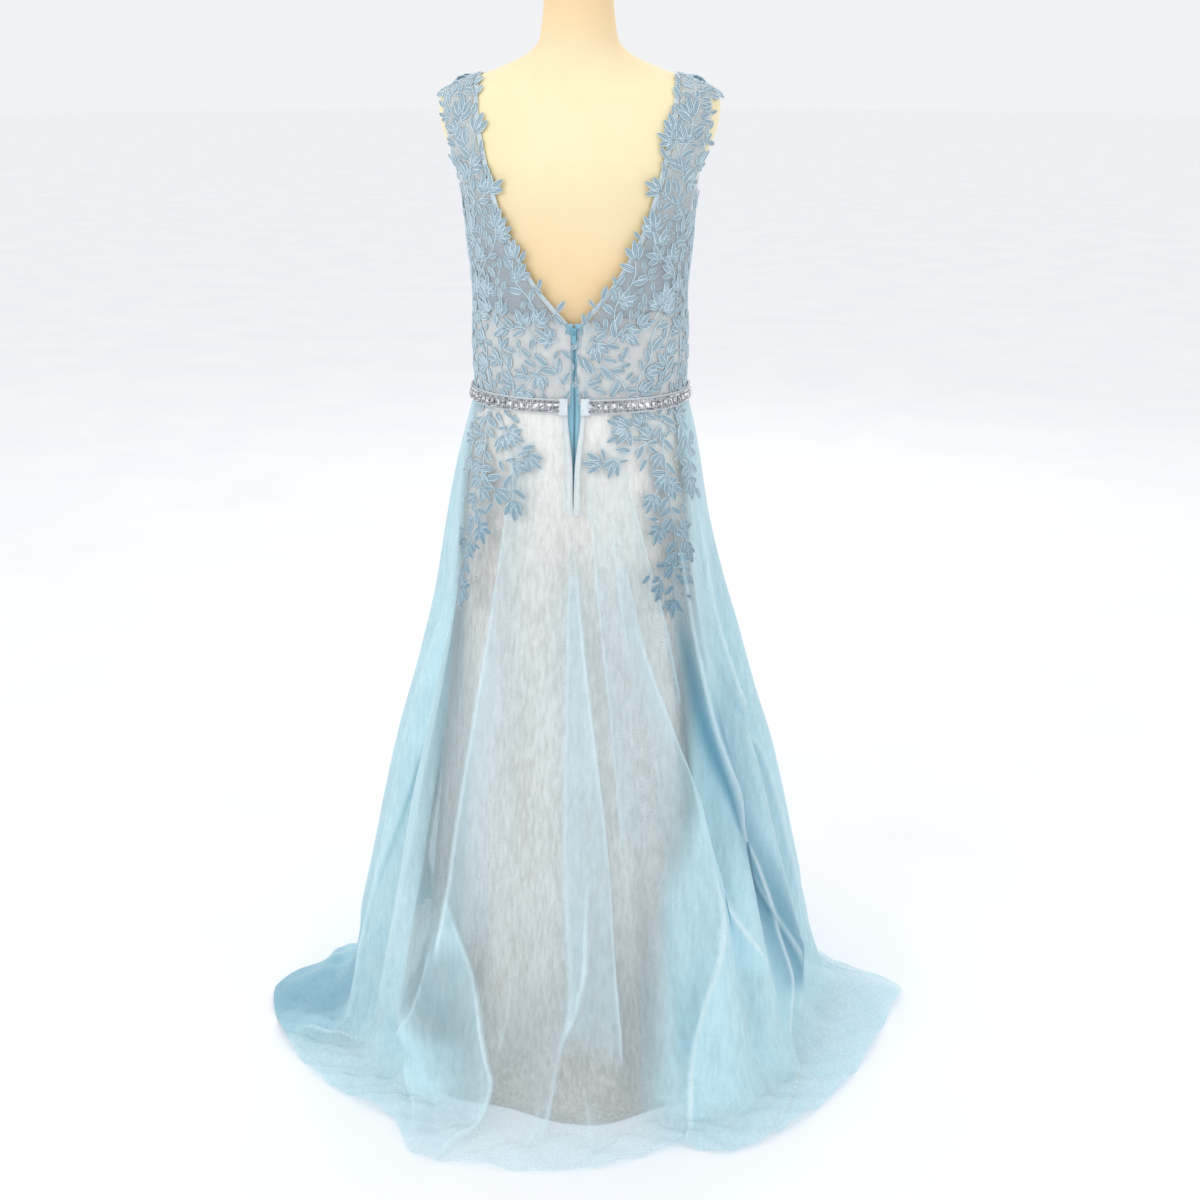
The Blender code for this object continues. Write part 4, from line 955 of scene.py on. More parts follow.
SIDES = ((-1, "left"), (1, "right"))
QUARTERS = [
    (side, word, front, place)
    for side, word in SIDES
    for front, place in ((False, "back"), (True, "front"))
]
BODICE_ROWS = np.linspace(BODICE_FOOT_Z, STRAP_Z, 46)
STRAP_ROWS = np.linspace(0, 1, 31)[1:]
NET_COLUMNS = np.linspace(0, 1, 37)
FACING_SHARE = 0.133
FACING_WIDTH = 0.0085
FACING_START = 0.004
EDGE_FALL = 0.0026
CREASE_DEPTH = 0.0005
# The share of the view that the bodice's net covers: over its lining, over the form, over a facing
LINED_COVER = 0.24
BARE_COVER = 0.70
FACED_COVER = 0.18
bodice_nets = {}


def bodice_crease(grid, seed):
    """Shallow drag lines in a bodice panel's net, deepest between its edges."""
    rows, columns = grid.shape[:2]
    v, u = np.meshgrid(np.linspace(0, 1, rows), np.linspace(0, 1, columns), indexing="ij")
    drag = waves(((1, 9, 14, seed), (0.6, 23, -17, 2.1 * seed)), u, v)
    hold = np.sin(np.pi * u) * np.sin(np.pi * np.clip(v * 1.02, 0, 1))
    return CREASE_DEPTH * drag * hold


def outward_of(grid, side, front):
    """Unit normals of a grid of points, away from the body."""
    normal = unit(np.cross(np.gradient(grid, axis=1), np.gradient(grid, axis=0)))
    return normal * (-side if front else side)


def bodice_cover(grid, front):
    """The net looks doubled where nothing light lies under it."""
    share = np.broadcast_to(NET_COLUMNS[None, :], grid.shape[:2])
    top = lining_tops[front](90 * share)
    bare = smooth(grid[..., 2], top - 0.003, top + 0.002)
    cover = LINED_COVER + (BARE_COVER - LINED_COVER) * bare
    inward = np.linalg.norm(grid - grid[:, :1], axis=2)
    faced = 1 - smooth(inward, FACING_WIDTH - 0.001, FACING_WIDTH + 0.001)
    faced = faced * (grid[..., 2] > neck_starts[front] + FACING_START)
    return cover + (FACED_COVER - cover) * faced


def make_bodice():
    for side, word, front, place in QUARTERS:
        grid = bodice_grid(side, front, NET_COLUMNS, BODICE_ROWS, STRAP_ROWS, NET_WALL / 2)
        crease = bodice_crease(grid, 3 * side + front)
        grid = grid + outward_of(grid, side, front) * crease[..., None]
        bodice_nets[place, word] = add_grid(
            f"bodice_net_{place}_{word}", grid, NET, (f"bodice_{place}_{word}",),
            attributes={"dense": bodice_cover(grid, front)}, flip=(side > 0) == front,
        )


def lining_rows(side, front, rows=33, columns=37):
    """The bodice's lining, from the belt to its free top edge, which falls in towards the body."""
    share = np.linspace(0, 1, columns)[None, :]
    climb = np.linspace(0, 1, rows)[:, None]
    top = lining_tops[front](90 * share)
    z = BODICE_FOOT_Z + (top - BODICE_FOOT_Z) * climb
    start = angle_of_x(centre_edge(front, z), z)
    angle = start + (90 - start) * share
    out = -LAYER_GAP - LINING_WALL / 2 - EDGE_FALL * smooth(climb, 0.75, 1.0) * np.ones_like(share)
    return quarter_point(angle, z, side, front, out)


def make_bodice_lining():
    for side, word in SIDES:
        grid = lining_rows(side, False)
        add_grid(
            f"bodice_lining_back_{word}_cloth", grid, SATIN,
            (f"bodice_lining_back_{word}",), flip=side < 0,
        )
    left, right = lining_rows(-1, True), lining_rows(1, True)
    middle = (left[:, :1] + right[:, :1]) / 2
    grid = np.concatenate([left[:, :0:-1], middle, right[:, 1:]], axis=1)
    add_grid("bodice_lining_front_cloth", grid, SATIN, ("bodice_lining_front",), flip=True)


def narrowed(grid, width):
    """The strip of a panel that lies within a width of its first column."""
    across = grid - grid[:, :1]
    full = np.linalg.norm(across[:, -1:], axis=2, keepdims=True)
    return grid[:, :1] + across * np.minimum(1, width / full)


def make_facings():
    share = np.linspace(0, FACING_SHARE, 5)
    out = -LAYER_GAP - FACING_WALL / 2
    for side, word, front, place in QUARTERS:
        levels = np.linspace(neck_starts[front] + FACING_START, STRAP_Z, 20)
        grid = narrowed(bodice_grid(side, front, share, levels, STRAP_ROWS, out), FACING_WIDTH)
        node = f"neck_facing_{place}_{word}"
        add_grid(f"{node}_cloth", grid, FACING, (node,), flip=(side > 0) == front)


make_bodice()
make_bodice_lining()
make_facings()

# ---- skirt

# Edges where the net laps over itself: points as angle and distance down the cloth; the side that
# the upper layer lies on (1 towards the wearer's right, from behind); how far it stands out; how
# many degrees the upper layer takes to settle; how strong the painted highlight along the edge is;
# and what the lap adds to the cover of the net
LAPS = (
    (((-26.5, 0.01), (-28.5, 0.22), (-30.0, 0.45), (-30.5, 0.70),
     (-31.5, 0.84)), 1, 0.006, 9, 0.80, 0.30),
    (((-31.5, 0.70), (-27.5, 0.79), (-22.5, 0.88), (-19.0, 0.93), (-15.5, 0.99), (-14.0, 1.03),
     (-17.0, 1.24)),
     -1, 0.011, 14, 0.95, 0.42),
    (((-32.0, 0.76), (-33.0, 0.84), (-35.0, 0.92), (-42.5, 1.02), (-38.5, 1.06),
     (-21.5, 1.24)), 1, 0.005, 9, 0.55, 0.10),
    (((-0.8, 0.16), (-1.2, 0.45), (-1.0, 0.69), (0.0, 0.88),
     (-1.0, 0.98)), 1, 0.003, 6, 0.45, 0.22),
    (((0.0, 0.17), (4.5, 0.38), (9.5, 0.72), (10.0, 0.85), (11.0, 1.00)), -1, 0.005, 7, 1.00, 0.20),
    (((4.0, 0.66), (3.5, 0.83), (1.5, 0.91), (-0.5, 0.96), (-1.5, 1.02),
     (-2.5, 1.12)), -1, 0.006, 5, 0.85, 0.14),
    (((1.0, 0.98), (3.0, 1.08), (3.5, 1.23)), 1, 0.003, 6, 0.50, 0.08),
    (((17.5, 0.16), (20.5, 0.25), (24.5, 0.33), (33.0, 0.50), (47.0, 0.76),
     (56.0, 0.90)), -1, 0.009, 9, 0.80, 0.26),
    (((20.5, 0.04), (22.0, 0.09), (27.5, 0.19), (36.5, 0.36),
     (40.5, 0.46)), -1, 0.005, 7, 1.00, 0.18),
    (((4.0, 0.05), (6.5, 0.20), (9.2, 0.33), (12.0, 0.50), (13.0, 0.66)), 1, 0.004, 6, 0.60, 0.16),
    (((12.2, 0.06), (14.0, 0.16), (16.0, 0.26), (18.5, 0.36)), 1, 0.002, 5, 0.50, 0.08),
    (((46.5, 0.14), (47.5, 0.29), (49.5, 0.48), (65.0, 0.80),
     (72.0, 0.95)), 1, 0.013, 12, 0.72, 0.20),
    (((39.0, 0.66), (39.5, 0.75), (36.5, 0.81), (32.0, 0.88), (28.0, 0.99),
     (18.0, 1.24)), 1, 0.010, 14, 0.95, 0.24),
    (((58.0, 0.62), (65.0, 0.73), (67.5, 0.88), (68.5, 0.96), (66.5, 1.04),
     (37.5, 1.22)), -1, 0.007, 12, 0.80, 0.10),
    (((67.0, 0.12), (68.5, 0.25), (68.5, 0.43), (85.0, 0.60),
     (87.5, 0.88)), 1, 0.009, 9, 0.75, 0.10),
    (((68.5, 0.85), (78.0, 0.95), (85.5, 1.03)), -1, 0.004, 8, 0.60, 0.06),
    (((-42.5, 1.00), (-52.0, 1.05), (-63.5, 1.11), (-70.0, 1.20)), -1, 0.004, 8, 0.70, 0.08),
    (((-12.5, 0.80), (-13.0, 0.92), (-14.5, 1.00)), 1, 0.003, 4, 0.50, 0.06),
    (((-7.0, 1.01), (-4.5, 1.05), (-5.0, 1.12), (-8.0, 1.22)), 1, 0.004, 5, 0.70, 0.08),
    (((-52.0, 0.10), (-58.0, 0.34), (-64.5, 0.70), (-69.5, 0.94),
     (-66.0, 1.10)), -1, 0.008, 14, 0.30, 0.12),
    (((-71.0, 0.30), (-75.0, 0.55), (-83.0, 0.86), (-86.0, 1.04)), 1, 0.007, 10, 0.40, 0.06),
    (((-98.0, 0.08), (-101.0, 0.40), (-97.0, 0.80), (-94.0, 1.10)), -1, 0.008, 12, 0.60, 0.12),
    (((-121.0, 0.15), (-118.0, 0.50), (-124.0, 0.90), (-127.0, 1.16)), 1, 0.009, 12, 0.70, 0.20),
    (((-139.0, 0.05), (-143.0, 0.42), (-141.0, 0.80), (-146.0, 1.12)), -1, 0.008, 10, 0.75, 0.24),
    (((-163.0, 0.22), (-160.0, 0.60), (-162.0, 0.95), (-157.0, 1.20)), 1, 0.006, 8, 0.60, 0.20),
    (((-180.0, 0.30), (-176.0, 0.66), (-178.0, 1.02)), -1, 0.004, 7, 0.45, 0.16),
    (((166.0, 0.10), (162.0, 0.45), (157.0, 0.86), (160.0, 1.10)), 1, 0.007, 9, 0.80, 0.24),
    (((149.0, 0.28), (146.0, 0.60), (150.0, 1.00), (143.0, 1.22)), -1, 0.006, 8, 0.55, 0.16),
    (((127.0, 0.06), (131.0, 0.38), (127.0, 0.76), (130.0, 1.14)), 1, 0.009, 12, 0.75, 0.20),
    (((108.0, 0.18), (104.0, 0.52), (110.0, 0.90), (107.0, 1.18)), -1, 0.009, 12, 0.60, 0.14),
)
# Of a lap's edge, in degrees: its half width, that of its line of painted highlight and where the
# line lies; then how fast the upper layer settles
LAP_EDGE = 0.55
PALE_EDGE = 0.42
PALE_PLACE = 0.3
LAP_FALL = 1.4

# The part of the skirt where the lining shows through: its left and right limits by distance down
BACK_SHOWS = (
    ((0.00, -62.0), (0.16, -58.0), (0.30, -48.0), (0.60, -41.0), (0.80, -37.0), (0.92, -33.0),
     (1.00, -22.0), (1.24, -16.0)),
    ((0.00, 58.0), (0.16, 54.0), (0.30, 48.0), (0.46, 43.0), (0.61, 29.5), (0.75, 20.0),
     (0.95, 15.5), (1.24, 12.0)),
)
FRONT_SHOWS = (
    ((0.00, 146.0), (0.40, 138.0), (0.80, 148.0), (1.24, 158.0)),
    ((0.00, 213.0), (0.45, 221.0), (0.80, 210.0), (1.24, 199.0)),
)
# Valleys that lie in shade: points, width in degrees and depth of tone
VALLEYS = (
    (((44.0, 0.22), (45.0, 0.32), (47.5, 0.48), (56.0, 0.69)), 2.9, 1.0),
    (((52.0, 0.36), (56.0, 0.60), (68.0, 0.84), (74.0, 1.00)), 7.0, 0.85),
    (((66.0, 0.30), (66.5, 0.45), (80.0, 0.58), (84.0, 0.88)), 2.4, 0.40),
    (((-34.0, 0.76), (-32.5, 0.86), (-27.0, 0.96)), 2.0, 0.30),
    (((35.0, 0.76), (29.5, 0.88), (25.0, 1.02)), 2.4, 0.30),
    (((-84.0, 0.90), (-80.0, 1.05), (-84.0, 1.30)), 14.0, 0.62),
    (((-104.0, 0.2), (-103.0, 0.8)), 3.0, 0.45),
    (((-136.0, 0.2), (-138.0, 0.9)), 3.0, 0.45),
    (((124.0, 0.2), (124.5, 0.9)), 3.0, 0.45),
    (((112.0, 0.3), (113.0, 0.9)), 3.0, 0.40),
)
# Places where the cloth bridges a valley between two folds: points, width in degrees, height
BRIDGES = (
    (((-40.0, 0.04), (-43.0, 0.50), (-44.0, 1.02)), 8.5, 0.026),
    (((-12.0, 0.10), (-14.0, 0.55), (-13.0, 1.02)), 7.0, 0.007),
    (((15.0, 0.20), (16.0, 0.60), (18.0, 1.02)), 4.0, 0.006),
    (((153.0, 0.20), (160.0, 0.60), (161.0, 1.02)), 5.0, 0.010),
    (((180.0, 0.20), (180.0, 0.60), (181.0, 1.02)), 5.0, 0.010),
)
CREST_SHARPNESS = 0.12
PANELS = (
    ("back_right", 0.0, 90.0, 280, "start"),
    ("front", 90.0, 270.0, 250, None),
    ("back_left", 270.0, 360.0, 280, "stop"),
)
# Places that catch the light and look paler: points, width in degrees and strength
BRIGHTER = (
    (((-42.0, 0.05), (-47.0, 0.45), (-50.0, 0.90)), 18.0, 0.26),
    (((58.0, 0.05), (62.0, 0.30), (66.0, 0.48)), 12.0, 0.32),
    (((-30.0, 1.02), (-24.0, 1.14), (-20.0, 1.26)), 10.0, 0.32),
)


def along_path(points, down, fade=0.14):
    """Where a listed line is at a distance down the cloth, and how much of it is there."""
    at = curve_through([(row[1], row[0]) for row in points])(down)
    held = smooth(down, points[0][1] - 0.01, points[0][1] + fade)
    return at, held * (1 - smooth(down, points[-1][1] - 0.05, points[-1][1] + 0.01))


def laps_at(angle, down):
    """For each lap: its row, how far past its edge an angle is, and how much of it is there."""
    for row in LAPS:
        centre, held = along_path(row[0], down)
        yield row, wrapped(angle - centre) * row[1], held


def lap_rise(angle, down):
    rise = np.zeros(np.broadcast(angle, down).shape)
    for (_, _, height, settle, *_), away, held in laps_at(angle, down):
        layer = smooth(away, -LAP_EDGE, LAP_EDGE) * np.exp(-np.maximum(away, 0) / settle * LAP_FALL)
        rise = rise + height * held * layer
    return rise


def hand_placed(rows, angle, down):
    """The greatest of some soft ridges along paths: (path, width in degrees, height)."""
    found = np.zeros(np.broadcast(angle, down).shape)
    for points, width, height in rows:
        centre, held = along_path(points, down)
        found = np.maximum(found, height * held * np.exp(-((wrapped(angle - centre) / width) ** 2)))
    return found


def crest_pull(angle, down):
    """Degrees by which the cloth gathers towards each fold's crest, which narrows it."""
    pull = np.zeros(np.broadcast(angle, down).shape)
    for away, half, grown, _ in folds_at(angle, down):
        pull = pull - CREST_SHARPNESS * half * grown * away * np.exp(-(away**2))
    return pull


# Waves of the net, its crumples on the floor and waves of the lining: height, turns round and down
RIPPLES = ((1.0, 13, 3, 0.7), (0.6, 29, -5, 0.0), (0.3, 53, 9, 2.0))
RIPPLE_HEIGHT = 0.0014
CRUMPLES = ((1.0, 26, 46, 0.0), (0.8, 41, -60, 1.3), (0.6, 67, 85, 0.4))
CRUMPLE_HEIGHT = 0.0028
CRUMPLE_MIDDLE = 0.0035
LINING_CREASES = ((1.0, 17, 3, 0.0), (0.6, 29, -5, 1.0))
LINING_CREASE_HEIGHT = 0.0022
NET_FLOOR_Z = 0.0006
LINING_FLOOR_Z = 0.0003


def ripple(angle, down):
    """Small uneven waves in the net, which grow towards the floor."""
    return RIPPLE_HEIGHT * smooth(down, 0.10, 1.1) * waves(RIPPLES, np.radians(angle), down)


def puddle(angle, down):
    """How far the net stands off the floor in soft crumples, past the point where it lands."""
    crumple = CRUMPLE_HEIGHT * waves(CRUMPLES, np.radians(angle), down)
    return smooth(down, 1.03, 1.10) * (CRUMPLE_MIDDLE + crumple)


def overskirt_surface(angle, down):
    """The overskirt as it is seen, with its laps, ripples and crumples."""
    angle, down = paired(angle, down)
    moved = angle + crest_pull(angle, down)
    hold = smooth(down, 0.05, 0.30)
    off = (lap_rise(angle, down) + ripple(moved, down)) * hold
    point = net_surface(moved, down) + cloth_normals(net_surface, moved, down) * off[..., None]
    bridged = hand_placed(BRIDGES, angle, down) * hold
    point[..., 0] += bridged * np.sin(np.radians(angle))
    point[..., 1] -= bridged * np.cos(np.radians(angle))
    point[..., 2] = np.maximum(point[..., 2] + puddle(moved, down), NET_FLOOR_Z)
    return point


def panel_angles(start, stop, columns, surface, downs, width_curve, opening=None):
    """Angles of a panel's grid. The back edge stands off the zip."""
    radius = np.maximum(width_curve(downs), 0.1)
    levels = surface(np.zeros_like(downs), downs)[..., 2]
    wide = np.degrees(np.where(levels > ZIP_FOOT_Z, zip_opening(levels), 0.0) / radius)
    from_angle = start + wide * (opening == "start")
    to_angle = stop - wide * (opening == "stop")
    return from_angle + (to_angle - from_angle) * np.linspace(0, 1, columns + 1)[None, :]


# The share of the view that the overskirt covers: at the waist and below where the lining shows,
# where it is gathered, on the floor, and what the left end of the train adds
TOP_COVER = 0.10
THIN_COVER = 0.20
FULL_COVER = 0.74
FLOOR_COVER = 0.30
FLOOR_GATHERED = 0.42
LEFT_TRAIN_COVER = 0.46
LEFT_TRAIN = (60, 78)
MOST_COVER = 0.95
# What a highlighted edge and a shaded valley add to the cover, and how strong an edge's painted
# highlight may be
PALE_COVER = 0.30
SHADE_COVER = 0.42
PALE_SHARE = 0.85
SHOWS_FADE = 13.0
SKIRT_ROWS = 211
LINING_ROWS = 91
LINING_TUCK = 0.12
skirt_nets = {}


def between(limits, angle, down, low, high):
    """1 between a pair of limits, and a fade of some degrees outside each."""
    left, right = (angle - curve_through(rows)(down) for rows in limits)
    return smooth(left, *low) * (1 - smooth(right, *high))


def shown_share(angle, down):
    """1 where the lining shows through the net, 0 where the net is gathered too thickly."""
    back = between(BACK_SHOWS, wrapped(angle), down, (-SHOWS_FADE, 3), (-2, SHOWS_FADE * 0.7))
    turned = np.asarray(angle, float) % 360
    return back + between(FRONT_SHOWS, turned, down, (-SHOWS_FADE, 3), (-3, SHOWS_FADE))


def net_cover(angle, down):
    """The share of the view that the net covers, its painted highlight, and its painted shade."""
    thin = TOP_COVER + (THIN_COVER - TOP_COVER) * smooth(down, 0.10, 0.45)
    cover = FULL_COVER + (thin - FULL_COVER) * shown_share(angle, down)
    painted_highlight = np.zeros_like(cover)
    for (_, _, _, settle, strength, extra), away, held in laps_at(angle, down):
        layer = smooth(away, -0.4, 0.6) * np.exp(-np.maximum(away, 0) / settle)
        cover = cover + extra * held * layer
        # A painted highlight runs along each lap's edge
        edge = np.exp(-(((away - PALE_PLACE) / PALE_EDGE) ** 2))
        painted_highlight = np.maximum(painted_highlight, strength * held * edge)
    landed = smooth(down, 1.05, 1.13)
    train = LEFT_TRAIN_COVER * smooth(-wrapped(angle), *LEFT_TRAIN)
    floor = FLOOR_COVER + FLOOR_GATHERED * (cover - THIN_COVER) + train
    shade = hand_placed(VALLEYS, angle, down)
    cover = cover * (1 - landed) + floor * landed + PALE_COVER * painted_highlight + SHADE_COVER * shade
    # Painted highlight on lap edges and on places that catch the light, kept off the shaded valleys
    painted_highlight = np.maximum(PALE_SHARE * painted_highlight, hand_placed(BRIGHTER, angle, down) * (1 - shade))
    return np.clip(cover, 0, MOST_COVER), painted_highlight, shade


def make_overskirt():
    downs = np.linspace(0, NET_LENGTH, SKIRT_ROWS)[:, None]
    for name, start, stop, columns, opening in PANELS:
        angle = panel_angles(start, stop, columns, net_surface, downs, net_curves[1], opening)
        angle, down = paired(angle, downs)
        looks = dict(zip(("dense", "painted_highlight", "shade"), net_cover(angle, down)))
        skirt_nets[name] = add_grid(
            f"overskirt_net_{name}", overskirt_surface(angle, down), TULLE,
            (f"overskirt_{name}",), attributes=looks,
        )


def lining_creases(angle, down):
    hold = smooth(down, 0.15, 0.9) * (1 - smooth(down, 1.0, 1.08))
    return LINING_CREASE_HEIGHT * hold * waves(LINING_CREASES, np.radians(angle), down)


def make_skirt_lining_pieces():
    downs = np.linspace(0, LINING_LENGTH, LINING_ROWS)[:, None]
    for name, start, stop, columns, opening in PANELS:
        angle = panel_angles(
            start, stop, columns // 2, lining_surface, downs, lining_curves[1], opening
        )
        angle, down = paired(angle, downs)
        tucked = (-LAYER_GAP - LINING_WALL) * np.clip(1 - down / LINING_TUCK, 0, 1)
        off = tucked + LINING_WALL / 2 + lining_creases(angle, down)
        normal = cloth_normals(lining_surface, angle, down)
        grid = lining_surface(angle, down) + normal * off[..., None]
        grid[..., 2] = np.maximum(grid[..., 2], LINING_FLOOR_Z)
        node = f"skirt_lining_{name}"
        add_grid(f"{node}_cloth", grid, SKIRT_LINING, (node,))


make_overskirt()
make_skirt_lining_pieces()

# ---- belt

STONE_PITCH = 0.0098
SQUARE_HALF = 0.0039
ROUND_HALF = 0.0014
ROUND_LEVEL = 0.0063
STONE_LEVEL = 0.010
STONE_LEAN = 0.10
# Of a setting and a gem: the span of heights over the band, and the size as a share of the stone's
SETTING_SPAN = (0.0004, 0.0019)
SETTING_SHARE = 1.16
GEM_SPAN = (0.0010, 0.0030)
SQUARE_GEM_SHARE = 1.32
ROUND_GEM_SHARE = 0.98
# Of a cut stone: the width of its foot and of its flat table, and how high its girdle is
FOOT_SHARE, TABLE_SHARE, GIRDLE_SHARE = 0.94, 0.60, 0.35
# Section of the band: level and how far out
BAND_SECTION = ((0.0017, 0.0), (0.0017, 0.0007), (0.0183, 0.0007), (0.0183, 0.0))
SETTING_OUT = NET_WALL + 2 * LAYER_GAP + BELT_WALL
RIBBON_OUT = NET_WALL + LAYER_GAP + BELT_WALL / 2
RIBBON_ROLL = 0.0004
LOOSE_END_ANGLE = 2.4
LOOSE_END_STEPS = 12
LOOSE_END_OVER = 0.0012
PUFF_OUT = 0.0017
PUFF_HEIGHT = 0.0012
FIRST_STONE_ANGLE = 5.8


def belt_ring(angles, level, out):
    """Points round the waist, where the belt leans out over the skirt at its lower edge."""
    lean = BELT_LEAN * (1 - level / BELT_TALL)
    ring = torso_point(angles, WAIST_Z, ease_at(WAIST_Z) + BELT_SAG + out + lean)
    ring[..., 2] = BELT_LOW_Z + level
    return ring


def make_ribbon():
    angles = np.linspace(BELT_END_ANGLE, 360 - BELT_END_ANGLE, 361)
    levels = np.linspace(0, BELT_TALL, 9)
    roll = RIBBON_ROLL * np.sin(np.pi * levels / BELT_TALL)
    rows = [belt_ring(angles, level, RIBBON_OUT + bulge) for level, bulge in zip(levels, roll)]
    add_grid("belt_ribbon_cloth", np.array(rows), RIBBON, ("belt_ribbon",))
    turn = np.linspace(LOOSE_END_ANGLE, FIRST_STONE_ANGLE + 0.5, LOOSE_END_STEPS)
    puff = PUFF_HEIGHT * np.sin(np.linspace(0.2, np.pi, LOOSE_END_STEPS))
    levels = np.linspace(-LOOSE_END_OVER, BELT_TALL + LOOSE_END_OVER, 9)
    swell = np.sin(np.pi * (levels + 0.002) / 0.025)
    for side, word in SIDES:
        rows = [belt_ring(turn, z, RIBBON_OUT + PUFF_OUT + puff * s) for z, s in zip(levels, swell)]
        end = np.array(rows)
        end[..., 0] *= side
        add_grid(f"belt_end_{word}", end, RIBBON, flip=side < 0)


def add_stone(verts, faces, place, axes, half, sides, low, high):
    """A cut stone: a foot, a girdle and a smaller flat table."""
    right, up, out = axes
    first = len(verts)
    girdle = low + (high - low) * GIRDLE_SHARE
    for radius, height in ((half * FOOT_SHARE, low), (half, girdle), (half * TABLE_SHARE, high)):
        verts += round_points(place + out * height, right, up, radius, sides, math.pi / sides)
    faces += tube_faces(first, 3, sides)


def stones_at(here):
    """Each stone at a place along the belt: how far along, its level, half width and sides."""
    yield here, STONE_LEVEL, SQUARE_HALF, 4
    for row in (-1, 1):
        for step in (-1, 0, 1):
            yield here + step * STONE_PITCH / 3, STONE_LEVEL + row * ROUND_LEVEL, ROUND_HALF, 8


def make_stones():
    """A band of square stones between two rows of small round ones, each in a silver bezel."""
    draw = random.Random(11)
    angles = np.linspace(FIRST_STONE_ANGLE, 360 - FIRST_STONE_ANGLE, 1441)
    middle = belt_ring(angles, BELT_TALL / 2, SETTING_OUT)
    run = np.concatenate([[0], np.cumsum(np.linalg.norm(np.diff(middle, axis=0), axis=1))])
    count = int(run[-1] / STONE_PITCH)
    band = [belt_ring(angles[::6], level, SETTING_OUT + out) for level, out in BAND_SECTION]
    settings = [Vector(p) for p in np.concatenate(band)]
    setting_faces = grid_faces(len(band), len(band[0]))
    gems, gem_faces = [], []

    def spot(angle, level):
        return Vector(belt_ring(np.array([angle]), level, SETTING_OUT)[0])

    for k in range(count):
        for along, level, half, sides in stones_at((k + 0.5) * run[-1] / count):
            at = np.interp(along, run, angles)
            place = spot(at, level)
            right = (spot(at + 0.4, level) - place).normalized()
            up = (spot(at, level + 0.001) - place).normalized()
            out = right.cross(up)
            if out.x * place.x + out.y * place.y < 0:
                out = -out
            axes = (right, up, out)
            size = half * SETTING_SHARE
            add_stone(settings, setting_faces, place, axes, size, sides, *SETTING_SPAN)
            lean = Vector([draw.uniform(-1, 1) for _ in range(3)]) * STONE_LEAN
            tilted = (out + lean).normalized()
            right = (right - tilted * right.dot(tilted)).normalized()
            axes = (right, tilted.cross(right), tilted)
            size = half * (SQUARE_GEM_SHARE if sides == 4 else ROUND_GEM_SHARE)
            add_stone(gems, gem_faces, place, axes, size, sides, *GEM_SPAN)
    add_piece(
        "belt_settings", settings, setting_faces, SILVER, ("belt_stones",), flat=True
    )
    add_piece("belt_gems", gems, gem_faces, STONE, flat=True)


make_ribbon()
make_stones()

# ---- zip

LINING_INNER = -2 * LAYER_GAP - LINING_WALL
TAPE_OVERLAP = 0.0006
TOOTH_PITCH = 0.0015
TOOTH_SIZE = (0.0021, 0.0011, 0.0009)
TOOTH_X = 0.0007
TOOTH_SINK = 0.0002
TOOTH_TAPER = 0.7
STOP_SIZE = (0.0016, 0.0014, 0.0034)
STOP_X = 0.0021
STOP_BELOW_TOP = 0.0012


def down_at(curves, z):
    """Distance down the cloth at which a skirt's profile reaches a level."""
    downs = np.linspace(0, 0.4, 401)
    return np.interp(-np.asarray(z, float), -curves[0](downs), downs)


def back_line(x, z, out):
    """A point on the linings' back, by its distance off the centre line and out of the net."""
    if z >= WAIST_Z:
        point = torso_point(angle_of_x(abs(x), z), z, ease_at(z) + out)
    else:
        down = down_at(lining_curves, z)
        share = min(abs(x) / lining_curves[1](down), 1) ** (squareness(z) / 2)
        point = lining_surface(math.degrees(math.asin(share)), down)
        point[1] -= out + (LAYER_GAP + LINING_WALL) * min(down / LINING_TUCK, 1)
    return np.array([x, point[1], z])


def make_tapes():
    levels = np.linspace(ZIP_FOOT_Z - 0.004, ZIP_TOP_Z + 0.003, 90)
    xs = np.linspace(TAPE_INNER_X - TAPE_OVERLAP, TAPE_OUTER_X, 6)
    out = LINING_INNER - TAPE_WALL / 2
    for side, word in SIDES:
        grid = np.array([[back_line(side * x, z, out) for x in xs] for z in levels])
        node = f"zip_tape_{word}"
        add_grid(f"{node}_cloth", grid, TAPE, (node,), flip=side < 0)


def add_block(verts, faces, place, size):
    """A small block whose outer face is smaller than its foot."""
    faces += tube_faces(len(verts), 2, 4)
    wide, deep, tall = (part / 2 for part in size)
    for y, scale in ((deep, 1.0), (-deep, TOOTH_TAPER)):
        for x, z in ((-1, -1), (1, -1), (1, 1), (-1, 1)):
            verts.append(place + np.array([x * wide * scale, y, z * tall * scale]))


def make_teeth():
    """The zip's teeth, closed below the slider, with a stop above it on each side."""
    verts, faces = [], []
    out = LINING_INNER - TOOTH_SINK
    for z in np.arange(ZIP_FOOT_Z + 0.002, ZIP_TOP_Z - 0.006, TOOTH_PITCH):
        for side in (-1, 1):
            level = z + side * TOOTH_PITCH / 4
            add_block(verts, faces, back_line(side * TOOTH_X, level, out), TOOTH_SIZE)
    for side in (-1, 1):
        place = back_line(side * STOP_X, ZIP_TOP_Z - STOP_BELOW_TOP, out)
        add_block(verts, faces, place, STOP_SIZE)
    add_piece("zip_teeth", verts, faces, ZIP_PAINT, ("zip_chain",), flat=True)
    refinish(ZIP_PAINT, "zip_slider", "zip_pull_tab")


# Of a stitch: how far along it each ring is, and its rise in radii. It dips into the cloth.
STITCH_RINGS = ((0.0, -0.4), (0.25, 0.7), (0.75, 0.7), (1.0, -0.4))
STITCH_SIDES = 6
STITCH_RADIUS = 0.00028
BAR_RADIUS = 0.0003
BAR_ROW = -3
PLACKET_WIDTH_ANGLE = 1.8
PLACKET_FOLD = 0.0005
PLACKET_ROWS = 40
PLACKET_COLUMNS = 7


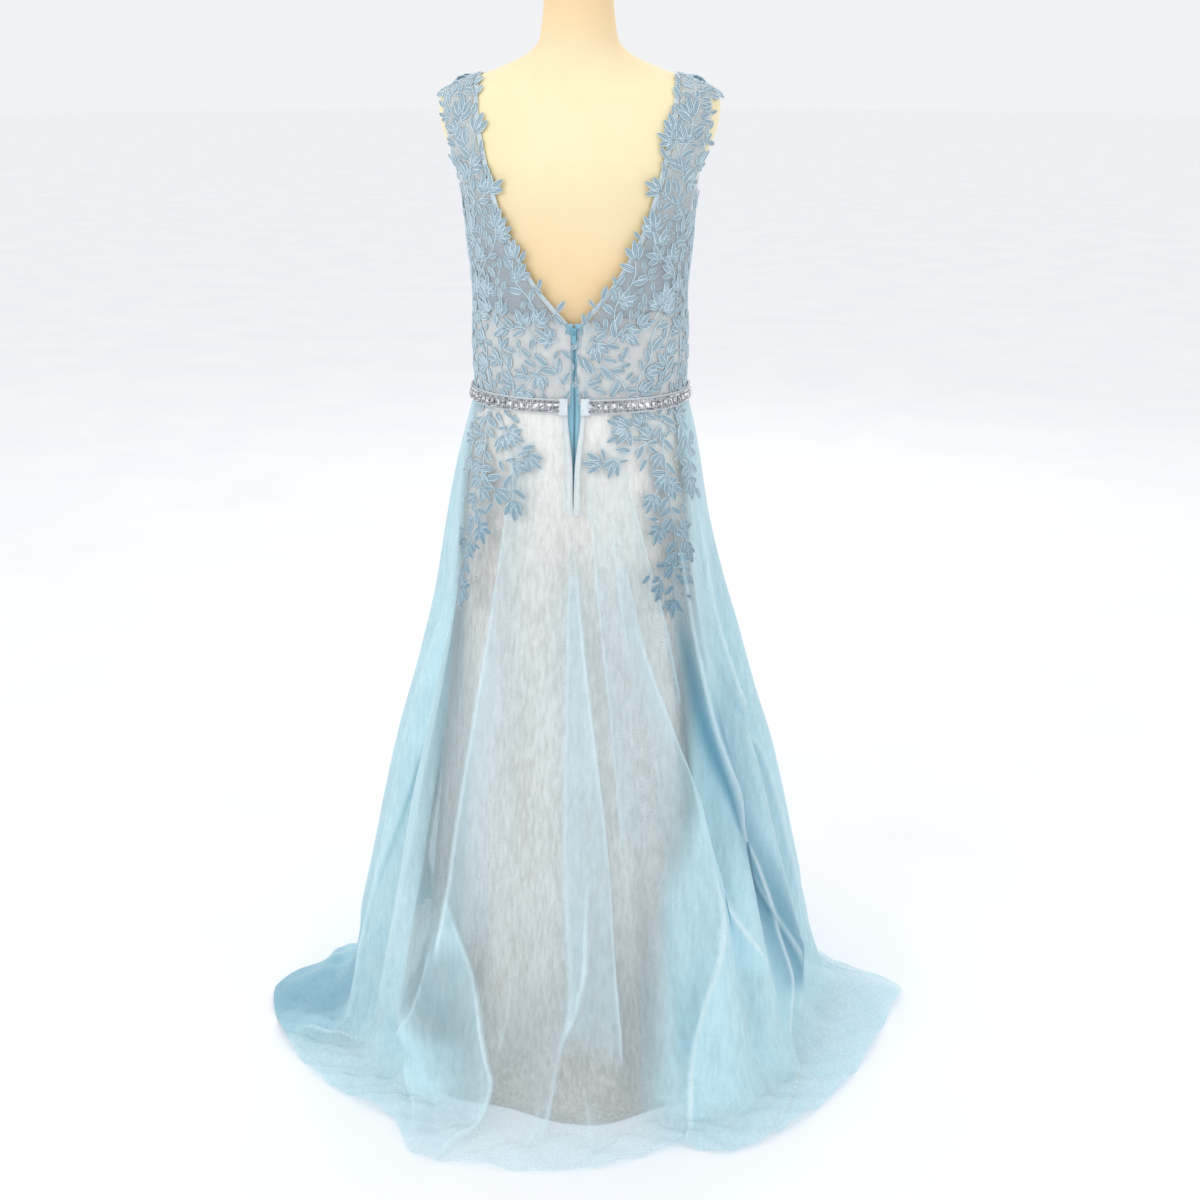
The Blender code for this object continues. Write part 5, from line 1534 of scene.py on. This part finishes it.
def add_stitch(verts, faces, start, stop, normal, radius):
    """A short rounded stitch."""
    start, stop, normal = Vector(start), Vector(stop), Vector(normal)
    across = (stop - start).cross(normal).normalized()
    faces += tube_faces(len(verts), len(STITCH_RINGS), STITCH_SIDES, flip=True)
    for t, rise in STITCH_RINGS:
        centre = start.lerp(stop, t) + normal * radius * rise
        verts += round_points(centre, across, normal, radius, STITCH_SIDES)


def make_plackets():
    """Folded satin edges on both sides of the zip, stitched down, with a bar of stitches below."""
    verts, faces = [], []
    levels = np.linspace(PLACKET_TOP_Z, PLACKET_FOOT_Z, PLACKET_ROWS)
    across = np.linspace(0, 1, PLACKET_COLUMNS)[None, :]
    downs = down_at(net_curves, levels)[:, None]
    gap = np.maximum(zip_opening(levels)[:, None], 0.0006)
    angles = np.degrees(gap / net_curves[1](downs)) + PLACKET_WIDTH_ANGLE * across
    out = SKIRT_WALL + LAYER_GAP + FACING_WALL / 2 + PLACKET_FOLD * np.sin(np.pi * across)
    for side, word in SIDES:
        angle, down = paired(angles if side > 0 else 360 - angles, downs)
        normal = cloth_normals(net_surface, angle, down)
        grid = overskirt_surface(angle, down) + normal * out[..., None]
        node = f"zip_placket_{word}"
        add_grid(f"{node}_cloth", grid, PLACKET, (node,), flip=side > 0)
        for row in range(PLACKET_ROWS - 1):
            for column in (1, PLACKET_COLUMNS - 2):
                start, step = grid[row, column], grid[row + 1, column] - grid[row, column]
                ends = (start + step * 0.15, start + step * 0.8)
                add_stitch(verts, faces, *ends, normal[row, column], STITCH_RADIUS)
        for column in range(1, PLACKET_COLUMNS - 1):
            start, stop = grid[BAR_ROW, column], grid[BAR_ROW, column + 1]
            ends = (start, start + (stop - start) * 0.8)
            add_stitch(verts, faces, *ends, normal[BAR_ROW, column], BAR_RADIUS)
    add_piece("placket_stitching", verts, faces, THREAD)


make_tapes()
make_teeth()
make_plackets()

# ---- embroidery

LEAF_STEPS = 7
# Across half a leaf, from its middle: place, height over the net, and how much of the raised cord's
# colour it takes rather than the painted shade of the grooves. A doubled cord runs round it and a
# groove down its middle.
LEAF_HALF = (
    (0.00, 0.0001, 0.00),
    (0.13, 0.0009, 0.70),
    (0.38, 0.0009, 0.70),
    (0.52, 0.0003, 0.00),
    (0.66, 0.0014, 1.00),
    (0.90, 0.0014, 1.00),
    (1.00, -0.0002, 0.60),
)
LEAF_SECTION = tuple((-place, *rest) for place, *rest in LEAF_HALF[:0:-1]) + LEAF_HALF
STEM_SIDES = 6
STEM_STEP = 0.004
BEAD_SIDES = 8
BEAD_TILTS = (-0.6, 0.0, 0.6, 1.1)
# How near two leaves may come, as a share of their reaches, and a leaf's reach as one of its width
CROWDED = 0.73
LEAF_REACH = 0.42
SPRIG_SHARE = 0.45
# A bud's leaves: degrees off its middle, size and lift. Some buds have the wide pair as well.
WIDE_PAIR = ((-72, 0.70, 0.0), (72, 0.70, 0.0))
WIDE_SHARE = 0.4
BUD = ((-36, 0.92, 0.0002), (36, 0.92, 0.0002), (0, 1.12, 0.0009))
BUD_SIZE = 1.08
# Leaves turn a darker blue from one level down to another, and how far they do
PALE_LEAVES_Z = 1.02
DEEP_LEAVES_Z = 0.78
DEEP_SHARE = 0.75


def softened(points, rounds=3):
    """A polyline with its corners cut."""
    points = [Vector(p) for p in points]
    for _ in range(rounds):
        cut = [points[0]]
        for a, b in zip(points[:-1], points[1:]):
            cut += [a.lerp(b, 0.25), a.lerp(b, 0.75)]
        points = cut + [points[-1]]
    return points


def resampled(points, step):
    lengths = [0.0]
    for a, b in zip(points[:-1], points[1:]):
        lengths.append(lengths[-1] + (b - a).length)
    count = max(2, int(lengths[-1] / step) + 1)
    spots = np.linspace(0, lengths[-1], count)
    columns = [np.interp(spots, lengths, [p[axis] for p in points]) for axis in range(3)]
    return [Vector(p) for p in zip(*columns)]


class Embroidery:
    """Leaves, stems and beads that lie on a panel of cloth, gathered into one mesh."""

    def __init__(self, cloth, seed):
        self.points = [v.co.copy() for v in cloth.data.vertices]
        polygons = [tuple(p.vertices) for p in cloth.data.polygons]
        self.tree = BVHTree.FromPolygons(self.points, polygons)
        self.draw = random.Random(seed)
        self.verts, self.faces, self.cord, self.stitch = [], [], [], []
        self.beads, self.bead_faces = [], []
        self.taken, self.reach = [], []

    def ground(self, point):
        """The nearest point of the cloth, and the cloth's normal there, away from the body."""
        spot, normal, _, _ = self.tree.find_nearest(point)
        centre = Vector((0, 0, min(spot.z, 1.25)))
        return spot, normal if normal.dot(spot - centre) > 0 else -normal

    def along_cloth(self, direction, point):
        """A direction laid flat on the cloth at a point."""
        _, normal = self.ground(point)
        return (direction - normal * direction.dot(normal)).normalized()

    def seat(self, point, height):
        """A point of a leaf, laid on the cloth, or in line with it past the cloth's edge."""
        spot, normal = self.ground(point)
        beyond = point - spot
        return spot + beyond - normal * beyond.dot(normal) + normal * height

    def crowded(self, spots, radius):
        if not self.taken:
            return False
        taken, limit = np.array(self.taken), CROWDED * (np.array(self.reach) + radius)
        return any((np.linalg.norm(taken - np.array(s), axis=1) < limit).any() for s in spots)

    def leaf(self, base, along, length, width, forced=False, curl=0.0, lift=0.0):
        along = self.along_cloth(along, base)
        across = self.ground(base)[1].cross(along)
        spots = [base + along * (length * t) for t in (0.3, 0.5, 0.7, 0.9)]
        if not forced and self.crowded(spots, width * LEAF_REACH):
            return False
        self.taken += [tuple(s) for s in spots]
        self.reach += [width * LEAF_REACH] * len(spots)
        bend = self.draw.uniform(-0.16, 0.16)
        lift += self.draw.uniform(0, 0.0004)
        self.faces += tube_faces(len(self.verts), LEAF_STEPS + 1, len(LEAF_SECTION), flip=True)
        for i in range(LEAF_STEPS + 1):
            t = 0.015 + 0.97 * i / LEAF_STEPS
            half = width / 2 * 2.79 * t**0.65 * (1 - t) ** 0.85
            full = min(1.0, 2.2 * math.sin(math.pi * t))
            for place, height, cord in LEAF_SECTION:
                offset = place * half + bend * length * t * t
                point = base + along * (length * t) + across * offset
                rise = height * (full if height > 0 else 1) + lift + curl * t * t
                self.verts.append(self.seat(point, rise))
                self.cord.append(cord)
                self.stitch.append(t * length + abs(place) * half * 0.9)
        return True

    def stem(self, path, radius=0.0008):
        """A corded stem along a path that lies on the cloth."""
        path = [self.seat(p, radius * 0.5) for p in path]
        self.faces += tube_faces(len(self.verts), len(path), STEM_SIDES)
        travelled = 0.0
        for k, point in enumerate(path):
            ahead = (path[min(k + 1, len(path) - 1)] - path[max(k - 1, 0)]).normalized()
            _, normal = self.ground(point)
            across = normal.cross(ahead).normalized()
            if k:
                travelled += (point - path[k - 1]).length
            thin = radius * (0.55 if k in (0, len(path) - 1) else 1.0)
            self.verts += round_points(point, across, normal, thin, STEM_SIDES)
            self.cord += [0.95] * STEM_SIDES
            self.stitch += [travelled] * STEM_SIDES

    def turned(self, along, point, degrees):
        _, normal = self.ground(point)
        along = along.copy()
        along.rotate(Matrix.Rotation(math.radians(degrees), 3, normal))
        return along

    def cluster(self, base, along, length, width, curl=0.0):
        """A bud: leaves that fan out from one point, the middle one on top."""
        wide = WIDE_PAIR if self.draw.random() < WIDE_SHARE else ()
        for degrees, scale, lift in wide + BUD:
            turned = self.turned(along, base, degrees + self.draw.uniform(-6, 6))
            self.leaf(base, turned, length * scale * BUD_SIZE, width * BUD_SIZE, True, curl, lift)

    def sprig(self, base, along, length, width):
        """A short side stem with a bud, where there is room for one."""
        tip = base + along * 0.006
        if self.crowded([tip + along * (length * t) for t in (0.3, 0.6, 0.9)], width * 0.7):
            return
        self.stem(resampled([self.ground(base)[0], self.ground(tip)[0]], 0.002), 0.0007)
        self.cluster(tip, along, length, width)

    def vine(self, points, spacing, length, width):
        """A stem with leaves on alternate sides and a bud at its end."""
        path = resampled(softened([self.ground(Vector(p))[0] for p in points]), STEM_STEP)
        self.stem(path)
        step = max(1, round(spacing / STEM_STEP))
        side = self.draw.choice((-1, 1))
        for k in range(step // 2, len(path) - 2, step):
            along = (path[k + 1] - path[k]).normalized()
            for turn in ((side,) if self.draw.random() < 0.7 else (side, -side)):
                heading = self.turned(along, path[k], turn * self.draw.uniform(34, 62))
                scale = self.draw.uniform(0.82, 1.15)
                if self.draw.random() < SPRIG_SHARE:
                    self.sprig(path[k], heading, length * 0.92, width * 0.92)
                else:
                    self.leaf(path[k] + heading * 0.0012, heading, length * scale, width * scale)
            side = -side
        self.cluster(path[-1], (path[-1] - path[-3]).normalized(), length, width)
        return path

    def filler(self, tries, length, width, lead, keep=lambda point: True):
        """Leaves on short stems in the gaps that the vines leave."""
        for _ in range(tries):
            base = self.draw.choice(self.points)
            if not keep(base):
                continue
            along = self.along_cloth(lead, base)
            along = self.turned(along, base, self.draw.uniform(-75, 75))
            scale = self.draw.uniform(0.6, 1.0)
            if self.leaf(base, along, length * scale, width * scale):
                back = self.turned(along, base, 180 + self.draw.uniform(-35, 35))
                end = base - along * 0.005 + back * 0.006
                tail = [base + along * 0.001, base - along * 0.004, end]
                self.stem(resampled(softened([self.ground(p)[0] for p in tail]), 0.003), 0.0006)

    def scatter_beads(self, count, radius, keep=lambda point: True):
        for _ in range(count):
            spot = self.draw.choice(self.points)
            if keep(spot):
                self.bead(spot, radius * self.draw.uniform(0.8, 1.2))

    def bead(self, spot, radius):
        _, normal = self.ground(spot)
        centre = Vector(spot) + normal * radius * 0.8
        right = normal.orthogonal().normalized()
        up = normal.cross(right)
        first = len(self.beads)
        for tilt in BEAD_TILTS:
            middle = centre + normal * (radius * math.sin(tilt))
            wide = radius * math.cos(tilt)
            self.beads += round_points(middle, right, up, wide, BEAD_SIDES)
        *sides, crown, foot = tube_faces(first, len(BEAD_TILTS), BEAD_SIDES)
        top = len(self.beads)
        self.beads.append(centre + normal * radius)
        self.bead_faces += sides + [(a, b, top) for a, b in zip(crown, crown[1:] + crown[:1])]
        self.bead_faces.append(foot)

    def finish(self, name, replaces):
        levels = np.array([v[2] for v in self.verts])
        deep = DEEP_SHARE * smooth(-levels, -PALE_LEAVES_Z, -DEEP_LEAVES_Z)
        add_piece(
            name, self.verts, self.faces, LACE, replaces,
            attributes={"cord": self.cord, "stitch": self.stitch, "deep": deep},
        )
        if self.beads:
            add_piece(f"{name}_beads", self.beads, self.bead_faces, PEARL)


def bodice_points(cloth):
    """Maps a share of a panel's width, from its centre edge, and a height up it to a point."""
    rows, columns = len(BODICE_ROWS) + len(STRAP_ROWS), len(NET_COLUMNS)
    grid = np.array([v.co for v in cloth.data.vertices]).reshape(rows, columns, 3)
    middle = grid[:, columns // 2]
    heights = np.concatenate([[0], np.cumsum(np.linalg.norm(np.diff(middle, axis=0), axis=1))])

    def at(share, height):
        row = float(np.interp(height, heights, np.arange(rows)))
        column = min(max(share, 0), 1) * (columns - 1)
        i, j = min(int(row), rows - 2), min(int(column), columns - 2)
        r, c = row - i, column - j
        low = grid[i, j] * (1 - c) + grid[i, j + 1] * c
        high = grid[i + 1, j] * (1 - c) + grid[i + 1, j + 1] * c
        return low * (1 - r) + high * r

    return at, heights[-1]


# Vines of the bodice: points as share of the panel's width from its centre edge, and height above
# the belt; then the spacing of the leaves
BACK_VINES = (
    (((0.50, 0.140), (0.62, 0.170), (0.34, 0.205), (0.66, 0.240), (0.34, 0.275), (0.66, 0.310),
     (0.36, 0.345), (0.60, 0.375), (0.48, 0.398)), 0.014),
    (((0.03, 0.020), (0.10, 0.060), (0.22, 0.040), (0.30, 0.010)), 0.015),
    (((0.05, 0.090), (0.16, 0.080), (0.26, 0.110), (0.40, 0.095), (0.52, 0.140)), 0.014),
    (((0.34, 0.004), (0.36, 0.040), (0.46, 0.060), (0.44, 0.095), (0.56, 0.120)), 0.014),
    (((0.52, 0.004), (0.60, 0.040), (0.58, 0.080), (0.70, 0.110), (0.66, 0.150)), 0.014),
    (((0.70, 0.004), (0.76, 0.050), (0.74, 0.090), (0.84, 0.130), (0.80, 0.175),
     (0.90, 0.210)), 0.014),
    (((0.88, 0.004), (0.93, 0.050), (0.88, 0.090), (0.96, 0.140), (0.94, 0.185)), 0.014),
    (((0.20, 0.100), (0.10, 0.140), (0.16, 0.170), (0.06, 0.200)), 0.015),
    (((0.66, 0.150), (0.50, 0.180), (0.20, 0.215), (0.10, 0.240)), 0.015),
    (((0.40, 0.205), (0.86, 0.235), (0.92, 0.260)), 0.015),
    (((0.34, 0.275), (0.10, 0.300)), 0.013),
    (((0.66, 0.310), (0.92, 0.335)), 0.013),
    (((0.36, 0.345), (0.12, 0.372)), 0.013),
)
FRONT_VINES = (
    (((0.50, 0.180), (0.62, 0.205), (0.34, 0.235), (0.66, 0.265), (0.36, 0.300), (0.62, 0.330),
     (0.44, 0.365)), 0.015),
    (((0.06, 0.015), (0.14, 0.060), (0.06, 0.100), (0.16, 0.140)), 0.016),
    (((0.20, 0.004), (0.28, 0.050), (0.22, 0.095), (0.34, 0.130), (0.28, 0.175)), 0.016),
    (((0.40, 0.004), (0.44, 0.050), (0.40, 0.095), (0.52, 0.130), (0.50, 0.180)), 0.015),
    (((0.58, 0.004), (0.64, 0.050), (0.60, 0.095), (0.70, 0.140), (0.66, 0.185)), 0.015),
    (((0.76, 0.004), (0.82, 0.060), (0.78, 0.110), (0.88, 0.150), (0.86, 0.200)), 0.015),
    (((0.93, 0.004), (0.95, 0.060), (0.90, 0.110), (0.96, 0.160)), 0.016),
)
STRAP_BURST = ((0.22, -42), (0.45, -14), (0.66, 10), (0.88, 40))
LEAF_LENGTH = 0.0225
LEAF_WIDTH = 0.0095
BEAD_RADIUS = 0.0010
# Numbers of tries for the small leaves between the vines
BACK_TRIES = 900
FRONT_TRIES = 300


def make_bodice_embroidery():
    for side, word, front, place in QUARTERS:
        cloth = bodice_nets[place, word]
        work = Embroidery(cloth, 100 + 10 * (side > 0) + front)
        at, tall = bodice_points(cloth)
        for points, spacing in FRONT_VINES if front else BACK_VINES:
            work.vine([at(*point) for point in points], spacing, LEAF_LENGTH, LEAF_WIDTH)
        for share, lean in STRAP_BURST:
            base = Vector(at(share, tall - 0.012))
            along = (Vector(at(share, tall - 0.004)) - base).normalized()
            turn = -lean if (side > 0) == front else lean
            work.leaf(base, work.turned(along, base, turn), LEAF_LENGTH, LEAF_WIDTH, True, 0.005)
        outward = Vector((side, 0, 1.4))
        work.filler(FRONT_TRIES if front else BACK_TRIES, 0.0195, 0.0084, outward)
        work.scatter_beads(70, BEAD_RADIUS)
        nodes = (f"leaves_{place}_{word}", f"leaves_{place}_strap_{word}")
        work.finish(f"embroidery_{place}_{word}", nodes)


# Sprays on the skirt: points as distance round from the centre line and distance down the cloth;
# then the spacing, length and width of the leaves
LEFT_SPRAY = (
    (((0.126, 0.015), (0.134, 0.075), (0.148, 0.145), (0.166, 0.210),
     (0.182, 0.270)), 0.018, 0.0235, 0.0102),
    (((0.104, 0.016), (0.092, 0.050), (0.086, 0.090), (0.084, 0.135)), 0.020, 0.0240, 0.0105),
    (((0.092, 0.050), (0.074, 0.060), (0.062, 0.072)), 0.020, 0.0225, 0.0098),
    (((0.150, 0.095), (0.130, 0.115), (0.112, 0.125)), 0.020, 0.0230, 0.0100),
    (((0.165, 0.145), (0.150, 0.165), (0.138, 0.178)), 0.020, 0.0220, 0.0098),
    (((0.138, 0.040), (0.160, 0.062), (0.172, 0.090)), 0.020, 0.0225, 0.0098),
    (((0.158, 0.178), (0.178, 0.190), (0.190, 0.205)), 0.020, 0.0210, 0.0094),
)
RIGHT_SPRAY = (
    (((0.116, 0.012), (0.128, 0.075), (0.146, 0.145), (0.166, 0.215),
     (0.182, 0.285)), 0.018, 0.0235, 0.0102),
    (((0.120, 0.028), (0.094, 0.034), (0.064, 0.030)), 0.020, 0.0235, 0.0102),
    (((0.118, 0.050), (0.086, 0.062), (0.060, 0.072), (0.036, 0.076)), 0.020, 0.0240, 0.0104),
    (((0.136, 0.014), (0.166, 0.040), (0.186, 0.080), (0.188, 0.120)), 0.021, 0.0240, 0.0104),
    (((0.140, 0.095), (0.124, 0.112), (0.116, 0.128)), 0.020, 0.0230, 0.0100),
    (((0.160, 0.145), (0.142, 0.160), (0.130, 0.180)), 0.020, 0.0225, 0.0098),
    (((0.156, 0.178), (0.178, 0.192), (0.192, 0.215)), 0.020, 0.0220, 0.0098),
    (((0.166, 0.215), (0.148, 0.232), (0.138, 0.252)), 0.020, 0.0215, 0.0095),
)
FRONT_SPRAY = (
    (((0.100, 0.020), (0.112, 0.070), (0.128, 0.130), (0.146, 0.200),
     (0.156, 0.265)), 0.021, 0.0235, 0.0102),
    (((0.112, 0.070), (0.086, 0.084), (0.058, 0.088)), 0.020, 0.0225, 0.0098),
    (((0.124, 0.120), (0.150, 0.150), (0.172, 0.170)), 0.020, 0.0225, 0.0098),
)
BACK_SPRAYS = {-1: LEFT_SPRAY, 1: RIGHT_SPRAY}
SPRAY_LOWEST = 0.70
FILLER_WITHIN = 0.022
BEADS_WITHIN = 0.03


def skirt_points(cloth, columns, centre, direction):
    """Maps distance round from a centre column, and distance down the cloth, to a panel's point."""
    grid = np.array([v.co for v in cloth.data.vertices]).reshape(SKIRT_ROWS, columns, 3)
    line = grid[:, centre::direction]
    steps = np.linalg.norm(np.diff(line, axis=1), axis=2)

    def at(arc, down):
        row = min(int(round(down / NET_LENGTH * (SKIRT_ROWS - 1))), SKIRT_ROWS - 1)
        lengths = np.concatenate([[0], np.cumsum(steps[row])])
        return np.array([np.interp(arc, lengths, line[row, :, axis]) for axis in range(3)])

    return at


def near_to(points, distance):
    """A test of whether a place is within a distance of some points."""
    tree = BVHTree.FromPolygons(
        [p + Vector((0, 0, d)) for p in points for d in (0, 0.001, 0.002)],
        [(3 * k, 3 * k + 1, 3 * k + 2) for k in range(len(points))],
    )
    return lambda place: tree.find_nearest(place, distance)[0] is not None


def make_skirt_embroidery():
    for side, word, front, place in QUARTERS:
        panel = "front" if front else f"back_{word}"
        columns = next(row[3] for row in PANELS if row[0] == panel) + 1
        if front:
            centre, direction = columns // 2, -side
        else:
            centre, direction = (0 if side > 0 else columns - 1), side
        at = skirt_points(skirt_nets[panel], columns, centre, direction)
        work = Embroidery(skirt_nets[panel], 200 + 10 * (side > 0) + front)
        work.points = [p for p in work.points if p.z > SPRAY_LOWEST]
        stems = []
        for points, spacing, length, width in FRONT_SPRAY if front else BACK_SPRAYS[side]:
            stems += work.vine([at(*point) for point in points], spacing, length, width)
        lead = Vector((side * 0.4, 0, -1))
        work.filler(420, 0.0200, 0.0088, lead, near_to(stems, FILLER_WITHIN))
        work.scatter_beads(400, BEAD_RADIUS, near_to(stems, BEADS_WITHIN))
        work.finish(f"embroidery_skirt_{place}_{word}", (f"leaves_skirt_{place}_{word}",))


make_bodice_embroidery()
make_skirt_embroidery()

# ---- cloth, as it was cut

# Name, width and length of the cut, its area where it isn't a rectangle, how it is held, and what
# it rests on or hangs from. SIDE stands for left and for right.
SHEETS = (
    ("bodice_net_back_SIDE", 0.245, 0.415, 0.0600, "hung", ("form_cover",
     "bodice_lining_back_SIDE_cloth")),
    ("bodice_net_front_SIDE", 0.250, 0.415, 0.0650, "hung", ("form_cover",
     "bodice_lining_front_cloth")),
    ("bodice_lining_back_SIDE_cloth", 0.232, 0.140, 0.0265, "hung", ("form_cover",)),
    ("bodice_lining_front_cloth", 0.470, 0.190, 0.0770, "hung", ("form_cover",)),
    ("neck_facing_back_SIDE_cloth", 0.0100, 0.330, 0.0027, "folded", ("bodice_net_back_SIDE",)),
    ("neck_facing_front_SIDE_cloth", 0.0100, 0.310, 0.0025, "folded", ("bodice_net_front_SIDE",)),
    ("overskirt_net_back_SIDE", 0.800, 1.250, 0.5700, "gathered", ("bodice_net_back_SIDE",
     "skirt_lining_back_SIDE_cloth")),
    ("overskirt_net_front", 1.450, 1.250, 1.0500, "gathered", ("bodice_net_front_left",
     "bodice_net_front_right", "skirt_lining_front_cloth")),
    ("skirt_lining_back_SIDE_cloth", 0.520, 1.110, 0.3720, "hung",
     ("bodice_lining_back_SIDE_cloth",)),
    ("skirt_lining_front_cloth", 1.000, 1.110, 0.6950, "hung", ("bodice_lining_front_cloth",)),
    ("belt_ribbon_cloth", 0.020, 0.890, None, "laid", ("bodice_net_back_left",
     "bodice_net_back_right")),
    ("belt_end_SIDE", 0.0220, 0.0130, None, "folded", ("belt_ribbon_cloth",)),
    ("zip_tape_SIDE_cloth", 0.0130, 0.256, 0.0028, "laid", ("bodice_lining_back_SIDE_cloth",)),
    ("zip_placket_SIDE_cloth", 0.0100, 0.134, 0.0009, "folded", ("overskirt_net_back_SIDE",)),
)


def declare_cloth():
    for name, width, length, area, held, rests in SHEETS:
        for word in ("left", "right") if "SIDE" in name else ("",):
            full = name.replace("SIDE", word)
            [rest.replace("SIDE", word) for rest in rests]


declare_cloth()

boxes = {"cad": cad_box, "visual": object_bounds()}
{key: [list(map(float, corner)) for corner in box] for key, box in boxes.items()}
